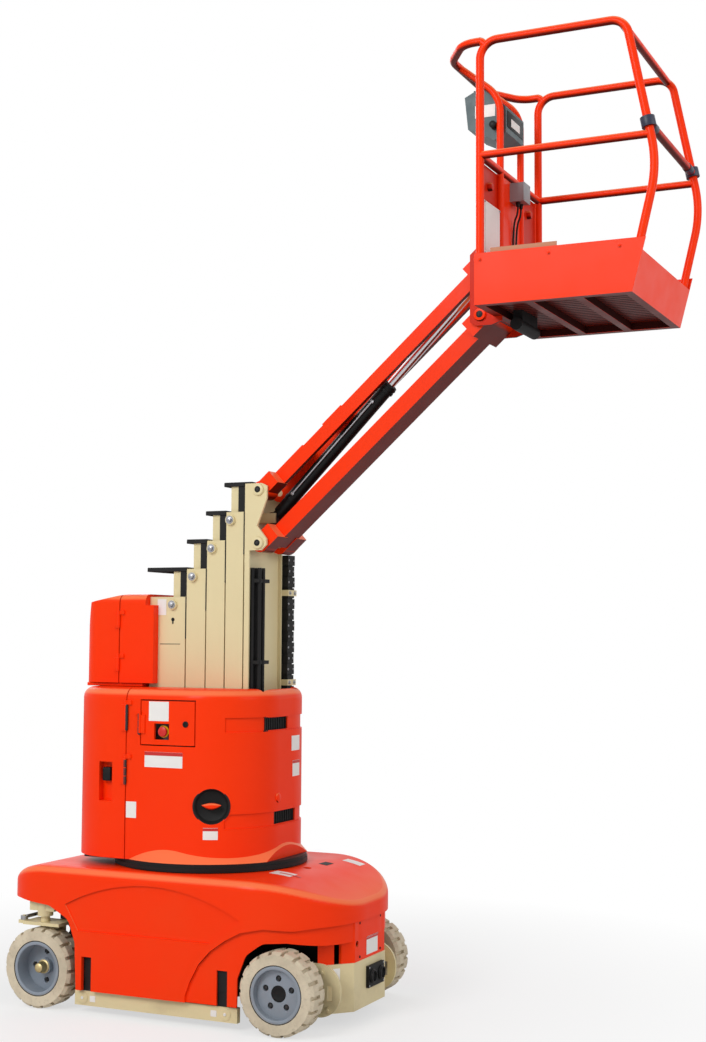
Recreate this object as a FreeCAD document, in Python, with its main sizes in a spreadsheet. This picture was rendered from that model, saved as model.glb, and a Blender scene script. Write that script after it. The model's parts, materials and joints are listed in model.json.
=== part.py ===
import FreeCAD, Part
import math
import os
from types import SimpleNamespace

import Sketcher

# Vertical mast lift. Frame: +X towards the drive wheels and the jib, +Y to the far side, +Z up.
# Origin on the ground under the slewing axis. Lengths in millimetres, angles in degrees.

doc = FreeCAD.newDocument("MastLift")
sheet = doc.addObject("Spreadsheet::Sheet", "Sizes")
Vector = FreeCAD.Vector

# name, number, what it is
SIZE_TABLE = [
    ("wheel_base", 1174, "axle to axle"),
    ("track_over_tyres", 990, "over the outer faces of the tyres"),
    ("wheel_radius", 172, "to the tips of the lugs"),
    ("tyre_width", 120, "tyre width"),
    ("rim_radius_less", 64, "seat of the tyre, less than wheel_radius"),
    ("rim_wall", 7, "rim barrel wall"),
    ("rim_disc", 12, "thickness of the wheel disc"),
    ("wheel_hole_circle_less", 46, "radius of the circle of wheel holes, less than rim_radius"),
    ("wheel_hole_radius", 13, "wheel hole"),
    ("hub_radius_less", 28, "drive hub through the wheel disc, less than wheel_hole_circle"),
    ("axle_radius", 18, "stub axle of a steered wheel"),
    ("running_gap", 0.05, "radial clearance of a running fit"),
    ("clearance", 6, "between moving pieces"),
    ("seat_gap", 0.3, "between pieces that bear on each other"),
    ("plate", 12, "thick welded plate"),
    ("motor_radius", 80, "drive motor barrel"),
    ("bracket_rear_less", 107, "rear edge of a wheel bracket, short of the axles"),
    ("bracket_front_more", 196, "front edge of a wheel bracket, beyond the axles"),
    ("bracket_low_less", 120, "lower edge of a wheel bracket, less than wheel_radius"),
    ("bracket_high_more", 98, "upper edge of a wheel bracket, more than wheel_radius"),
    ("bracket_round", 100, "front corner radius of a wheel bracket"),
    ("slot_low_more", 69, "tie-down slot, more than bracket_low"),
    ("slot_high_more", 131, "tie-down slot, more than bracket_low"),
    ("slot_front_less", 38, "tie-down slot, less than bracket_front"),
    ("slot_width", 22, "tie-down slot"),
    ("bumper_front_more", 2, "face of the drive end plate, more than bracket_front"),
    ("bumper_half_less", 131, "half of the flat face of the end plate, less than bracket_side"),
    ("bumper_back_less", 112, "where the chamfered end plate meets the brackets, less than bracket_front"),
    ("bumper_low_more", 6, "lower edge of the end plate, more than bracket_low"),
    ("bumper_high_less", 12, "upper edge of the end plate, less than bracket_high"),
    ("pan_low", 100, "underside of the chassis pan"),
    ("flange_radius_more", 15, "flange under the slewing ring, more than well_radius"),
    ("flange_top", 597, "top of the flange"),
    ("rail_side_less", 51, "outer face of the chassis side plates, less than bracket_side"),
    ("rail_low_more", 80, "lower edge of the rear side plates, more than pan_low"),
    ("rail_rear_more", 58, "rear end of the rear side plates, behind the centre, beyond the axles"),
    ("rail_front_more", 73, "front end of the front side plates, beyond the axles"),
    ("tie_down_radius", 20, "round tie-down hole in the rear side plates"),
    ("tie_down_back_less", 33, "tie-down hole, behind the centre, less than rail_rear"),
    ("tie_down_height_less", 115, "tie-down hole, less than rail_high"),
    ("beam_height", 40, "height of the steering beam"),
    ("beam_length", 130, "steering beam along the machine"),
    ("boss_radius", 34, "kingpin boss"),
    ("boss_drop", 23, "kingpin boss below the beam"),
    ("kingpin_radius", 20, "kingpin"),
    ("knuckle_plate", 14, "knuckle plates"),
    ("knuckle_half", 95, "half length of the knuckle's top plate"),
    ("steer_arm", 113, "steering arm, kingpin to tie rod"),
    ("tie_rod_radius", 8, "tie rod"),
    ("tie_eye_radius", 16, "tie rod eye"),
    ("tie_pin_radius", 7, "tie rod pin"),
    ("cover_rear_more", 213, "rear end of the moulded cover, behind the centre, beyond the axles"),
    ("cover_front_more", 213, "nose of the moulded cover, beyond the axles"),
    ("cover_top_more", 20, "top of the moulded cover, more than flange_top"),
    ("cover_side", 20, "wall of the moulded cover's sides"),
    ("cover_roof", 8, "wall of the moulded cover's top"),
    ("cover_step", 12, "depth of the step below the parting line"),
    ("cover_panel", 8, "depth of the lettering panel"),
    ("roof_fall", 740, "radius of the roof's fall to the nose"),
    ("roof_fall_start", 400, "start of the roof's fall to the nose"),
    ("roof_tail", 400, "radius of the roof's fall to the rear"),
    ("cover_skirt", 100, "lower edge of the side skirts"),
    ("cover_rear_round_less", 290, "plan radius of the rear corners, less than cover_half"),
    ("cover_nose_round_less", 70, "plan radius of the nose, less than cover_half"),
    ("cover_edge_round", 45, "radius of the upper edge"),
    ("cover_hole_less", 20, "opening for the slewing ring, less than well_radius"),
    ("bar_thick", 26, "thickness of a pothole bar"),
    ("bar_low", 32, "lower edge of a pothole bar, lowered"),
    ("bar_high_more", 62, "upper edge of a pothole bar, lowered, more than bar_low"),
    ("bar_rear_less", 182, "rear end of a pothole bar, behind the centre, short of the axles"),
    ("bar_front_less", 192, "front end of a pothole bar, short of the axles"),
    ("bar_hanger_less", 265, "hangers of a pothole bar, from the centre, short of the axles"),
    ("bar_hanger_width", 26, "hanger width"),
    ("bar_hanger_top_more", 168, "top of a hanger, more than bar_high"),
    ("race_outer_more", 7, "outer radius of the slewing ring's visible race, more than well_radius"),
    ("race_inner_less", 49, "inner radius of the slewing ring, less than well_radius"),
    ("race_split_less", 27, "outer radius of the lower race, less than well_radius"),
    ("race_level_more", 23, "underside of the turning race, more than flange_top"),
    ("table_top_more", 35, "top of the turntable plate, more than race_level"),
    ("table_edge_more", 20, "top of the turning race, more than race_level"),
    ("table_rear_less", 78, "rear edge of the battery tray, behind the centre, less than hood_rear"),
    ("table_half_less", 85, "half width of the battery tray, less than hood_half"),
    ("hood_rear_more", 314, "rear of the hood, behind the centre, more than mast_rear"),
    ("hood_front_more", 112, "front of the hood, more than front_fifth"),
    ("hood_half_less", 40, "half width of the hood, less than well_radius"),
    ("hood_height", 738, "hood above the turntable"),
    ("hood_wall", 14, "wall of the hood"),
    ("hood_rear_round_less", 135, "plan radius of the hood's rear corners, less than hood_half"),
    ("hood_front_round_less", 75, "plan radius of the hood's front corners, less than hood_half"),
    ("hood_edge_round", 46, "radius of the hood's upper edge"),
    ("door_seam_less", 29, "seam of the rear doors, behind the centre, less than mast_rear"),
    ("door_gap", 5, "gap round a door"),
    ("hinge_radius", 6, "hinge barrel"),
    ("hinge_stand", 7, "hinge axis outside the panel"),
    ("control_rear", 144, "control door, rear edge behind the centre"),
    ("control_front", 130, "control door, front edge"),
    ("control_low_less", 246, "control door, lower edge, less than hood_top"),
    ("control_high_less", 47, "control door, upper edge, less than hood_top"),
    ("control_depth", 90, "depth of the control box"),
    ("window_rear_less", 71, "control window, rear edge behind the centre, less than control_rear"),
    ("window_front", 2, "control window, front edge"),
    ("window_low_more", 27, "control window, lower edge, more than control_low"),
    ("window_high_more", 96, "control window, upper edge, more than control_low"),
    ("band_height", 62, "height of the sunk bands at the front"),
    ("band_depth", 7, "depth of the sunk bands"),
    ("recess_angle", 64.4, "direction of the round recess"),
    ("recess_height_more", 241, "centre of the round recess, more than table_top"),
    ("recess_radius", 82, "round recess"),
    ("recess_depth", 45, "depth of the round recess"),
    ("handle_rear_more", 140, "grip recess of the rear door, behind the centre, more than door_seam"),
    ("handle_front_more", 70, "grip recess of the rear door, behind the centre, more than door_seam"),
    ("handle_low_more", 245, "grip recess, more than table_top"),
    ("handle_high_more", 170, "grip recess, more than handle_low"),
    ("weight_top_more", 205, "top of the counterweight, more than table_top"),
    ("battery_top_less", 193, "top of the battery block, less than hood_top"),
    ("inner_half_less", 90, "half width of the inner masses, less than hood_half"),
    ("inner_rear_less", 88, "rear of the inner masses, behind the centre, less than hood_rear"),
    ("inner_front_more", 18, "front of the inner masses, behind the centre, more than mast_rear"),
    ("box_rear_more", 22, "rear of the upper box, behind the centre, more than hood_rear"),
    ("box_half_more", 42, "half width of the upper box, more than mast_half"),
    ("box_low_more", 17, "underside of the upper box, more than hood_top"),
    ("box_high_more", 12, "top of the upper box, more than mast_top"),
    ("box_round", 80, "plan radius of the upper box"),
    ("box_edge_round", 40, "radius of the upper box's top edge"),
    ("mast_above_hood", 405, "first section above the hood"),
    ("mast_half", 158, "half width of the mast sections"),
    ("mast_plate", 10, "side plates of the mast"),
    ("mast_web", 8, "webs of the mast"),
    ("mast_rear", 244, "rear of the first section, behind the centre"),
    ("mast_step", 124.8, "rise from one section's top to the next"),
    ("front_second_more", 103, "front edge of section two, more than front_first"),
    ("front_third_more", 97, "front edge of section three, more than front_second"),
    ("front_fourth_more", 93, "front edge of section four, more than front_third"),
    ("front_fifth_more", 30, "front edge of section five, more than front_fourth"),
    ("tongue_front", 20, "front of the tongue's box behind the section before"),
    ("tongue_half_less", 16, "half width of the tongue, less than mast_half"),
    ("pad_length", 100, "height of a slide pad"),
    ("chain_front_more", 27, "front of the cable chain beside the mast, more than front_fifth"),
    ("chain_rear_less", 29, "rear of the cable chain beside the mast, less than front_fifth"),
    ("chain_wide", 70, "width of the cable chain"),
    ("chain_low_less", 996, "lower end of the cable chain, less than chain_high"),
    ("chain_high_less", 37, "upper end of the cable chain, less than pivot_low"),
    ("hose_top_less", 108, "upper end of the hoses, less than pivot_low"),
    ("neck_half_less", 58, "half width of the tongue's neck, less than mast_half"),
    ("pulley_radius", 22, "pulley axle boss"),
    ("pulley_stand", 14, "pulley axle boss outside the plate"),
    ("pulley_drop", 35, "pulley axle below the top"),
    ("pulley_back", 64, "pulley axle behind the front edge"),
    ("cap_thick", 5, "black cap"),
    ("ear_low_less", 32, "lower edge of the jib ears, less than pivot_low"),
    ("ear_front_more", 41, "front of the jib ears, more than pivot_forward"),
    ("ear_notch_less", 6, "notch between the jib ears, less than pivot_forward"),
    ("pivot_forward_more", 43, "jib pivots in front of the centre, more than front_fifth"),
    ("pivot_spacing", 236, "lower to upper jib pivot"),
    ("arm_length", 1397, "pivot to pivot"),
    ("arm_angle", 41.9, "jib above level, at rest"),
    ("arm_pin", 15, "jib pins"),
    ("arm_deep", 35, "half depth of the lower arm"),
    ("arm_wall", 8, "plate of the lower arm"),
    ("upper_deep_less", 5, "half depth of the upper arm's tubes, less than arm_deep"),
    ("collar_half_less", 18, "half width of the arm ends, less than mast_half"),
    ("collar_inner", 43, "space for the cylinder in the arm ends"),
    ("collar_length", 85, "length of an arm end"),
    ("collar_radius_more", 5, "radius of an arm end, more than arm_deep"),
    ("barrel_radius_more", 1, "jib cylinder barrel, more than lug_inner"),
    ("rod_radius_less", 11, "jib cylinder rod, less than barrel_radius"),
    ("rod_gap", 1, "round the rod"),
    ("lug_inner_less", 8, "cylinder lugs, less than lug_outer"),
    ("lug_outer_less", 6, "cylinder lugs, less than collar_inner"),
    ("cylinder_pin", 12, "cylinder pin"),
    ("tray_length", 647, "length of the platform floor"),
    ("tray_half", 396, "half width of the platform"),
    ("tray_frame", 36, "height of the platform floor frame"),
    ("tray_channel", 34, "width of the floor frame members"),
    ("floor_sheet", 4, "floor sheet"),
    ("kick_sheet", 5, "kick plates"),
    ("kick_end_height_less", 50, "front kick plate above the underside, less than kick_side_height"),
    ("kick_side_height", 211, "side kick plates above the underside"),
    ("kick_lean", 42, "lean of the front kick plate"),
    ("rail_height", 1091, "top rail above the platform's underside"),
    ("rail_tube", 17, "radius of the guard rail tubes"),
    ("cross_tube", 16, "radius of the cross tubes"),
    ("rail_bend", 75, "bend radius of the top rail"),
    ("hoop_out_more", 97, "front reach of the curved posts, more than tray_front"),
    ("hoop_head_less", 25, "upper end of the curved posts, less than tray_front"),
    ("hoop_bend", 500, "bend radius of the curved posts"),
    ("loop_reach", 185, "rear loop behind the rear posts"),
    ("post_inner", 130, "inner rear posts from the centre plane"),
    ("sleeve_radius", 26, "sleeve of the entry bar"),
    ("sleeve_half", 20, "half length of a sleeve"),
]


class Size:
    """A number together with the expression on the sheet's cells that gives it."""

    def __init__(self, number, formula=None):
        self.number = float(number)
        self.formula = formula or "(%.10g)" % number

    def joined(self, sign, other, number):
        return Size(number, "(%s %s %s)" % (self.formula, sign, other.formula))

    def __add__(self, other):
        other = size_of(other)
        return self.joined("+", other, self.number + other.number)

    def __radd__(self, other):
        return size_of(other) + self

    def __sub__(self, other):
        other = size_of(other)
        return self.joined("-", other, self.number - other.number)

    def __rsub__(self, other):
        return size_of(other) - self

    def __mul__(self, other):
        other = size_of(other)
        return self.joined("*", other, self.number * other.number)

    def __rmul__(self, other):
        return size_of(other) * self

    def __truediv__(self, other):
        other = size_of(other)
        return self.joined("/", other, self.number / other.number)

    def __neg__(self):
        return Size(-self.number, "(0 - %s)" % self.formula)


def size_of(value):
    return value if isinstance(value, Size) else Size(value)


def cosine(angle):
    return Size(math.cos(math.radians(angle.number)), "cos(%s)" % angle.formula)


def sine(angle):
    return Size(math.sin(math.radians(angle.number)), "sin(%s)" % angle.formula)


for row, (name, value, meaning) in enumerate(SIZE_TABLE, start=1):
    sheet.set("A%d" % row, meaning)
    sheet.set("B%d" % row, str(value))
    sheet.setAlias("B%d" % row, name)
doc.recompute()
d = SimpleNamespace()
for name, value, meaning in SIZE_TABLE:
    setattr(d, name, Size(sheet.get(name), "Sizes." + name))

# Sizes that follow from those of the table
d.half_base = d.wheel_base / 2
d.rim_radius = d.wheel_radius - d.rim_radius_less
d.rim_half_width = d.tyre_width / 2 - 8
d.drive_disc_offset = d.tyre_width * 0.15
d.steer_disc_offset = -d.tyre_width / 4
d.wheel_hole_circle = d.rim_radius - d.wheel_hole_circle_less
d.hub_radius = d.wheel_hole_circle - d.hub_radius_less
d.bracket_side = d.track_over_tyres / 2 - d.tyre_width - 84
d.bracket_rear = d.half_base - d.bracket_rear_less
d.bracket_front = d.half_base + d.bracket_front_more
d.bracket_low = d.wheel_radius - d.bracket_low_less
d.bracket_high = d.wheel_radius + d.bracket_high_more
d.slot_low = d.bracket_low + d.slot_low_more
d.slot_high = d.bracket_low + d.slot_high_more
d.slot_front = d.bracket_front - d.slot_front_less
d.bumper_front = d.bracket_front + d.bumper_front_more
d.bumper_half = d.bracket_side - d.bumper_half_less
d.bumper_back = d.bracket_front - d.bumper_back_less
d.bumper_low = d.bracket_low + d.bumper_low_more
d.bumper_high = d.bracket_high - d.bumper_high_less
d.well_radius = d.track_over_tyres / 2 - 70
d.flange_radius = d.well_radius + d.flange_radius_more
d.rail_side = d.bracket_side - d.rail_side_less
d.rail_low = d.pan_low + d.rail_low_more
d.rail_rear = d.half_base + d.rail_rear_more
d.rail_front = d.half_base + d.rail_front_more
d.tie_down_back = d.rail_rear - d.tie_down_back_less
d.rail_high = d.wheel_radius * 2 + 71
d.beam_half = d.track_over_tyres / 2 - 33
d.cover_rear = d.half_base + d.cover_rear_more
d.cover_front = d.half_base + d.cover_front_more
d.cover_half = d.track_over_tyres / 2 - 5
d.cover_top = d.flange_top + d.cover_top_more
d.cover_rear_round = d.cover_half - d.cover_rear_round_less
d.cover_nose_round = d.cover_half - d.cover_nose_round_less
d.cover_hole = d.well_radius - d.cover_hole_less
d.bar_side = d.track_over_tyres / 2 - 45
d.bar_high = d.bar_low + d.bar_high_more
d.bar_rear = d.half_base - d.bar_rear_less
d.bar_front = d.half_base - d.bar_front_less
d.bar_hanger = d.half_base - d.bar_hanger_less
d.bar_hanger_top = d.bar_high + d.bar_hanger_top_more
d.race_outer = d.well_radius + d.race_outer_more
d.race_inner = d.well_radius - d.race_inner_less
d.race_split = d.well_radius - d.race_split_less
d.race_level = d.flange_top + d.race_level_more
d.table_top = d.race_level + d.table_top_more
d.table_edge = d.race_level + d.table_edge_more
d.hood_rear = d.mast_rear + d.hood_rear_more
d.hood_half = d.well_radius - d.hood_half_less
d.hood_top = d.table_top + d.hood_height
d.hood_rear_round = d.hood_half - d.hood_rear_round_less
d.hood_front_round = d.hood_half - d.hood_front_round_less
d.door_seam = d.mast_rear - d.door_seam_less
d.control_low = d.hood_top - d.control_low_less
d.control_high = d.hood_top - d.control_high_less
d.window_rear = d.control_rear - d.window_rear_less
d.window_low = d.control_low + d.window_low_more
d.window_high = d.control_low + d.window_high_more
d.recess_height = d.table_top + d.recess_height_more
d.handle_rear = d.door_seam + d.handle_rear_more
d.handle_front = d.door_seam + d.handle_front_more
d.handle_low = d.table_top + d.handle_low_more
d.handle_high = d.handle_low + d.handle_high_more
d.weight_top = d.table_top + d.weight_top_more
d.battery_top = d.hood_top - d.battery_top_less
d.inner_half = d.hood_half - d.inner_half_less
d.inner_rear = d.hood_rear - d.inner_rear_less
d.inner_front = d.mast_rear + d.inner_front_more
d.box_rear = d.hood_rear + d.box_rear_more
d.box_half = d.mast_half + d.box_half_more
d.box_low = d.hood_top + d.box_low_more
d.box_seam = (d.box_rear + d.mast_rear) / 2 - 32
d.mast_top = d.hood_top + d.mast_above_hood
d.front_first = 184 - d.mast_rear
d.front_second = d.front_first + d.front_second_more
d.front_third = d.front_second + d.front_third_more
d.front_fourth = d.front_third + d.front_fourth_more
d.front_fifth = d.front_fourth + d.front_fifth_more
d.tongue_depth = d.front_fourth - d.front_third - d.clearance - d.mast_web - 7
d.tongue_half = d.mast_half - d.tongue_half_less
d.chain_front = d.front_fifth + d.chain_front_more
d.chain_rear = d.front_fifth - d.chain_rear_less
d.neck_half = d.mast_half - d.neck_half_less
d.pivot_forward = d.front_fifth + d.pivot_forward_more
d.pivot_low = d.mast_top + d.mast_step * 4 - d.pivot_spacing - 28.2
d.upper_deep = d.arm_deep - d.upper_deep_less
d.upper_inner = d.collar_inner
d.collar_half = d.mast_half - d.collar_half_less
d.collar_radius = d.arm_deep + d.collar_radius_more
d.barrel_length = d.arm_length * 0.5727
d.lug_outer = d.collar_inner - d.lug_outer_less
d.tray_rear = d.pivot_forward + d.arm_length * cosine(d.arm_angle) + 62.2
d.tray_front = d.tray_rear + d.tray_length
d.tray_low = d.pivot_low + d.arm_length * sine(d.arm_angle) - 12
d.kick_end_height = d.kick_side_height - d.kick_end_height_less
d.rail_top = d.tray_low + d.rail_height
d.rail_mid = d.tray_low + d.rail_height * 0.5665
d.hoop_out = d.tray_front + d.hoop_out_more
d.hoop_level = d.tray_low + d.rail_height * 0.4546
d.hoop_head = d.tray_front - d.hoop_head_less
d.tie_down_height = d.rail_high - d.tie_down_height_less
d.table_rear = d.hood_rear - d.table_rear_less
d.table_half = d.hood_half - d.table_half_less
d.hood_front = d.front_fifth + d.hood_front_more
d.box_high = d.mast_top + d.box_high_more
d.mast_length = d.mast_top - d.pan_low - 140
d.chain_high = d.pivot_low - d.chain_high_less
d.hose_top = d.pivot_low - d.hose_top_less
d.ear_low = d.pivot_low - d.ear_low_less
d.ear_front = d.pivot_forward + d.ear_front_more
d.ear_notch = d.pivot_forward - d.ear_notch_less
d.arm_half = d.collar_half / 2
d.lug_inner = d.lug_outer - d.lug_inner_less
d.chain_low = d.chain_high - d.chain_low_less
d.barrel_radius = d.lug_inner + d.barrel_radius_more
d.rod_radius = d.barrel_radius - d.rod_radius_less

nodes = {}


def node(label, piece):
    """Names a finished sub-part; its label names its file."""
    piece.Label = label
    nodes[label] = piece
    return piece


def bind(piece, path, size):
    piece.setExpression(path, size_of(size).formula)


def put(piece, x, y, z):
    bind(piece, "Placement.Base.x", x)
    bind(piece, "Placement.Base.y", y)
    bind(piece, "Placement.Base.z", z)
    return piece


def box(x, y, z):
    piece = doc.addObject("Part::Box", "Block")
    for path, (low, high) in zip(("Length", "Width", "Height"), (x, y, z)):
        bind(piece, path, size_of(high) - low)
    return put(piece, x[0], y[0], z[0])


TURN = {
    "X": FreeCAD.Rotation(Vector(0, 1, 0), 90),
    "Y": FreeCAD.Rotation(Vector(1, 0, 0), -90),
    "Z": FreeCAD.Rotation(),
}


def cylinder(along, start, length, radius):
    """A cylinder that leaves the start point along an axis."""
    piece = doc.addObject("Part::Cylinder", "Round")
    bind(piece, "Radius", radius)
    bind(piece, "Height", length)
    piece.Placement = FreeCAD.Placement(Vector(), TURN[along])
    return put(piece, *start)


def fuse(pieces):
    joined = doc.addObject("Part::MultiFuse", "Joined")
    joined.Shapes = pieces
    joined.Refine = True
    return joined


def cut(base, tools):
    piece = doc.addObject("Part::Cut", "Cut")
    piece.Base = base
    piece.Tool = tools[0] if len(tools) == 1 else fuse(tools)
    piece.Refine = True
    return piece


def common(pieces):
    piece = doc.addObject("Part::MultiCommon", "Shared")
    piece.Shapes = pieces
    piece.Refine = True
    return piece


def mirrored_y(piece):
    """The same piece on the other side of the centre plane."""
    other = doc.addObject("Part::Mirroring", "Mirrored")
    other.Source = piece
    other.Normal = Vector(0, 1, 0)
    return other


def ring(start, height, outer, inner):
    x, y, z = start
    hole = cylinder("Z", (x, y, size_of(z) - 1), size_of(height) + 2, inner)
    return cut(cylinder("Z", start, height, outer), [hole])


PLANE_ROLE = {"XY": "XY_Plane", "XZ": "XZ_Plane", "YZ": "YZ_Plane"}


def origin_plane(body, plane):
    for feature in body.Origin.OriginFeatures:
        if feature.Role == PLANE_ROLE[plane]:
            return feature
    raise ValueError(plane)


def outline_sketch(body, plane, loops, offset):
    """A sketch of closed polygons whose every corner is held by two sheet dimensions."""
    sketch = body.newObject("Sketcher::SketchObject", "Outline")
    sketch.AttachmentSupport = [(origin_plane(body, plane), "")]
    sketch.MapMode = "FlatFace"
    bind(sketch, "AttachmentOffset.Base.z", offset)
    for loop in loops:
        corners = [(size_of(a), size_of(b)) for a, b in loop]
        spots = [Vector(a.number, b.number, 0) for a, b in corners]
        first = sketch.GeometryCount
        count = len(corners)
        for index in range(count):
            line = Part.LineSegment(spots[index], spots[(index + 1) % count])
            sketch.addGeometry(line, False)
        for index in range(count):
            after = first + (index + 1) % count
            sketch.addConstraint(Sketcher.Constraint("Coincident", first + index, 2, after, 1))
        for index, (a, b) in enumerate(corners):
            for kind, size in (("DistanceX", a), ("DistanceY", b)):
                held = Sketcher.Constraint(kind, -1, 1, first + index, 1, size.number)
                number = sketch.addConstraint(held)
                sketch.setExpression("Constraints[%d]" % number, size.formula)
    return sketch


def prism(plane, outline, span, holes=(), rounds=()):
    """A padded outline: XY spans Z, XZ spans Y, YZ spans X. rounds lists (corners, radius)."""
    body = doc.addObject("PartDesign::Body", "Body")
    low, high = size_of(span[0]), size_of(span[1])
    offset = -high if plane == "XZ" else low
    sketch = outline_sketch(body, plane, [outline] + list(holes), offset)
    pad = body.newObject("PartDesign::Pad", "Pad")
    pad.Profile = sketch
    bind(pad, "Length", high - low)
    for corners, radius in rounds:
        doc.recompute()
        spots = [tuple(size_of(value).number for value in outline[index]) for index in corners]
        previous = body.Tip
        edges = upright_edges(previous.Shape, plane, spots)
        fillet = body.newObject("PartDesign::Fillet", "Round")
        fillet.Base = (previous, edges)
        bind(fillet, "Radius", radius)
        body.Tip = fillet
    return body


PLANE_AXES = {"XY": (0, 1, 2), "XZ": (0, 2, 1), "YZ": (1, 2, 0)}


def upright_edges(shape, plane, spots):
    """Names of the edges that stand on the given corners of an outline."""
    first, second, normal = PLANE_AXES[plane]
    names = []
    for index, edge in enumerate(shape.Edges, start=1):
        ends = [vertex.Point for vertex in edge.Vertexes]
        if len(ends) != 2 or abs(ends[0][normal] - ends[1][normal]) < 0.5:
            continue
        for a, b in spots:
            if all(abs(end[first] - a) + abs(end[second] - b) < 0.01 for end in ends):
                names.append("Edge%d" % index)
    return names


def round_top(body, height, radius):
    """Rounds the edge of the body's top face."""
    doc.recompute()
    faces = body.Tip.Shape.Faces
    level = size_of(height).number
    for index, face in enumerate(faces, start=1):
        if face.BoundBox.ZMin > level - 0.01:
            previous = body.Tip
            fillet = body.newObject("PartDesign::Fillet", "TopRound")
            fillet.Base = (previous, ["Face%d" % index])
            bind(fillet, "Radius", radius)
            body.Tip = fillet
            return body
    raise ValueError("no top face")


def turned(profile, centre, side):
    """A profile of (radius, outward) corners turned about a wheel axle along Y."""
    body = doc.addObject("PartDesign::Body", "Turned")
    corners = [(radius, size_of(out) * side) for radius, out in profile]
    sketch = outline_sketch(body, "XY", [corners], 0)
    turning = body.newObject("PartDesign::Revolution", "Revolution")
    turning.Profile = sketch
    turning.ReferenceAxis = (sketch, ["V_Axis"])
    turning.Angle = 360
    put(body, *centre)
    return body


def housing(rear, front, half, low, high, rear_round, front_round, edge_round):
    """A block with rounded plan corners and a rounded upper edge."""
    outline = [(rear, -half), (front, -half), (front, half), (rear, half)]
    rounds = [((0, 3), rear_round)]
    if front_round is not None:
        rounds.append(((1, 2), front_round))
    body = prism("XY", outline, (low, high), rounds=rounds)
    return round_top(body, high, edge_round)


def feature(shape):
    piece = doc.addObject("Part::Feature", "Shaped")
    piece.Shape = shape
    return piece


# Places that several sub-parts share
wheel_x = d.wheel_base / 2
wheel_y = (d.track_over_tyres - d.tyre_width) / 2
SIDES = (("near", -1), ("far", 1))


def pair(low, high, side):
    """A span across the machine on one side of the centre plane, low to high."""
    if side > 0:
        return (size_of(low), size_of(high))
    return (-size_of(high), -size_of(low))


LUGS = 18
TYRE_SIDES = 36


def polygon_loft(stations):
    """A solid through regular polygons about Y; stations lists (outward, radius)."""
    wires = []
    for out, radius in stations:
        corners = []
        for index in range(TYRE_SIDES + 1):
            angle = 2 * math.pi * index / TYRE_SIDES
            corners.append(Vector(radius * math.sin(angle), out, -radius * math.cos(angle)))
        wires.append(Part.makePolygon(corners))
    return Part.makeLoft(wires, True, True)


def lugged_tyre():
    """A tyre about Y whose tread is cut into two staggered rows of lugs."""
    radius = d.wheel_radius.number
    seat = d.rim_radius.number / math.cos(math.pi / TYRE_SIDES)
    half = d.tyre_width.number / 2
    flat = d.rim_half_width.number
    shoulder = radius - 12
    outer = polygon_loft([(-half, shoulder), (14 - half, radius), (half - 14, radius), (half, shoulder)])
    bore = polygon_loft([(-half, seat + 12), (-flat, seat), (flat, seat), (half, seat + 12)])
    grooves = []
    for row in (-1, 1):
        start = -4 if row > 0 else -half - 2
        for index in range(LUGS):
            groove = Part.makeBox(15, half + 6, 20, Vector(-7.5, start, radius - 13))
            turn = 360 / LUGS * (index + (row + 1) / 4)
            groove.rotate(Vector(), Vector(0, 1, 0), turn)
            grooves.append(groove)
    return outer.cut(bore).cut(Part.makeCompound(grooves))


def wheels():
    inside = d.rim_radius - d.rim_wall
    hub = d.hub_radius + d.running_gap
    drive_rim = [
        (d.rim_radius, -d.rim_half_width),
        (d.rim_radius, d.rim_half_width),
        (inside, d.rim_half_width),
        (inside, d.drive_disc_offset + d.rim_disc),
        (hub, d.drive_disc_offset + d.rim_disc),
        (hub, d.drive_disc_offset),
        (inside, d.drive_disc_offset),
        (inside, -d.rim_half_width),
    ]
    bore = d.axle_radius + d.running_gap
    steer_rim = [
        (d.rim_radius, -d.rim_half_width),
        (d.rim_radius, d.rim_half_width),
        (inside, d.rim_half_width),
        (inside, d.steer_disc_offset + d.rim_disc),
        (d.hub_radius, d.steer_disc_offset + d.rim_disc),
        (d.hub_radius, 6),
        (0, 6),
        (0, -2),
        (bore, -2),
        (bore, d.steer_disc_offset),
        (inside, d.steer_disc_offset),
        (inside, -d.rim_half_width),
    ]
    tyre = lugged_tyre()
    kinds = (("drive", 1, drive_rim, 5), ("steer", -1, steer_rim, 4))
    for kind, end, rim, holes in kinds:
        for word, side in SIDES:
            centre = (wheel_x * end, wheel_y * side, d.wheel_radius)
            piece = feature(tyre.copy() if side > 0 else tyre.mirror(Vector(), Vector(0, 1, 0)))
            node("%s_tyre_%s" % (kind, word), put(piece, *centre))
            blank = turned(rim, centre, side)
            tools = []
            for index in range(holes):
                angle = math.radians(90 + 360 * index / holes)
                x = centre[0] + d.wheel_hole_circle * math.cos(angle)
                z = centre[2] + d.wheel_hole_circle * math.sin(angle)
                start = centre[1] - d.tyre_width / 2
                tools.append(cylinder("Y", (x, start, z), d.tyre_width, d.wheel_hole_radius))
            node("%s_rim_%s" % (kind, word), cut(blank, tools))


def mast_well():
    """The open drum that the turning mast reaches down into."""
    floor = cylinder("Z", (0, 0, d.pan_low), d.plate, d.well_radius)
    wall_height = d.flange_top - d.plate - d.pan_low
    wall = ring((0, 0, d.pan_low), wall_height, d.well_radius, d.well_radius - d.plate)
    flange = ring((0, 0, d.flange_top - d.plate), d.plate, d.flange_radius, d.race_inner)
    node("mast_well", fuse([floor, wall, flange]))


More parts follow.
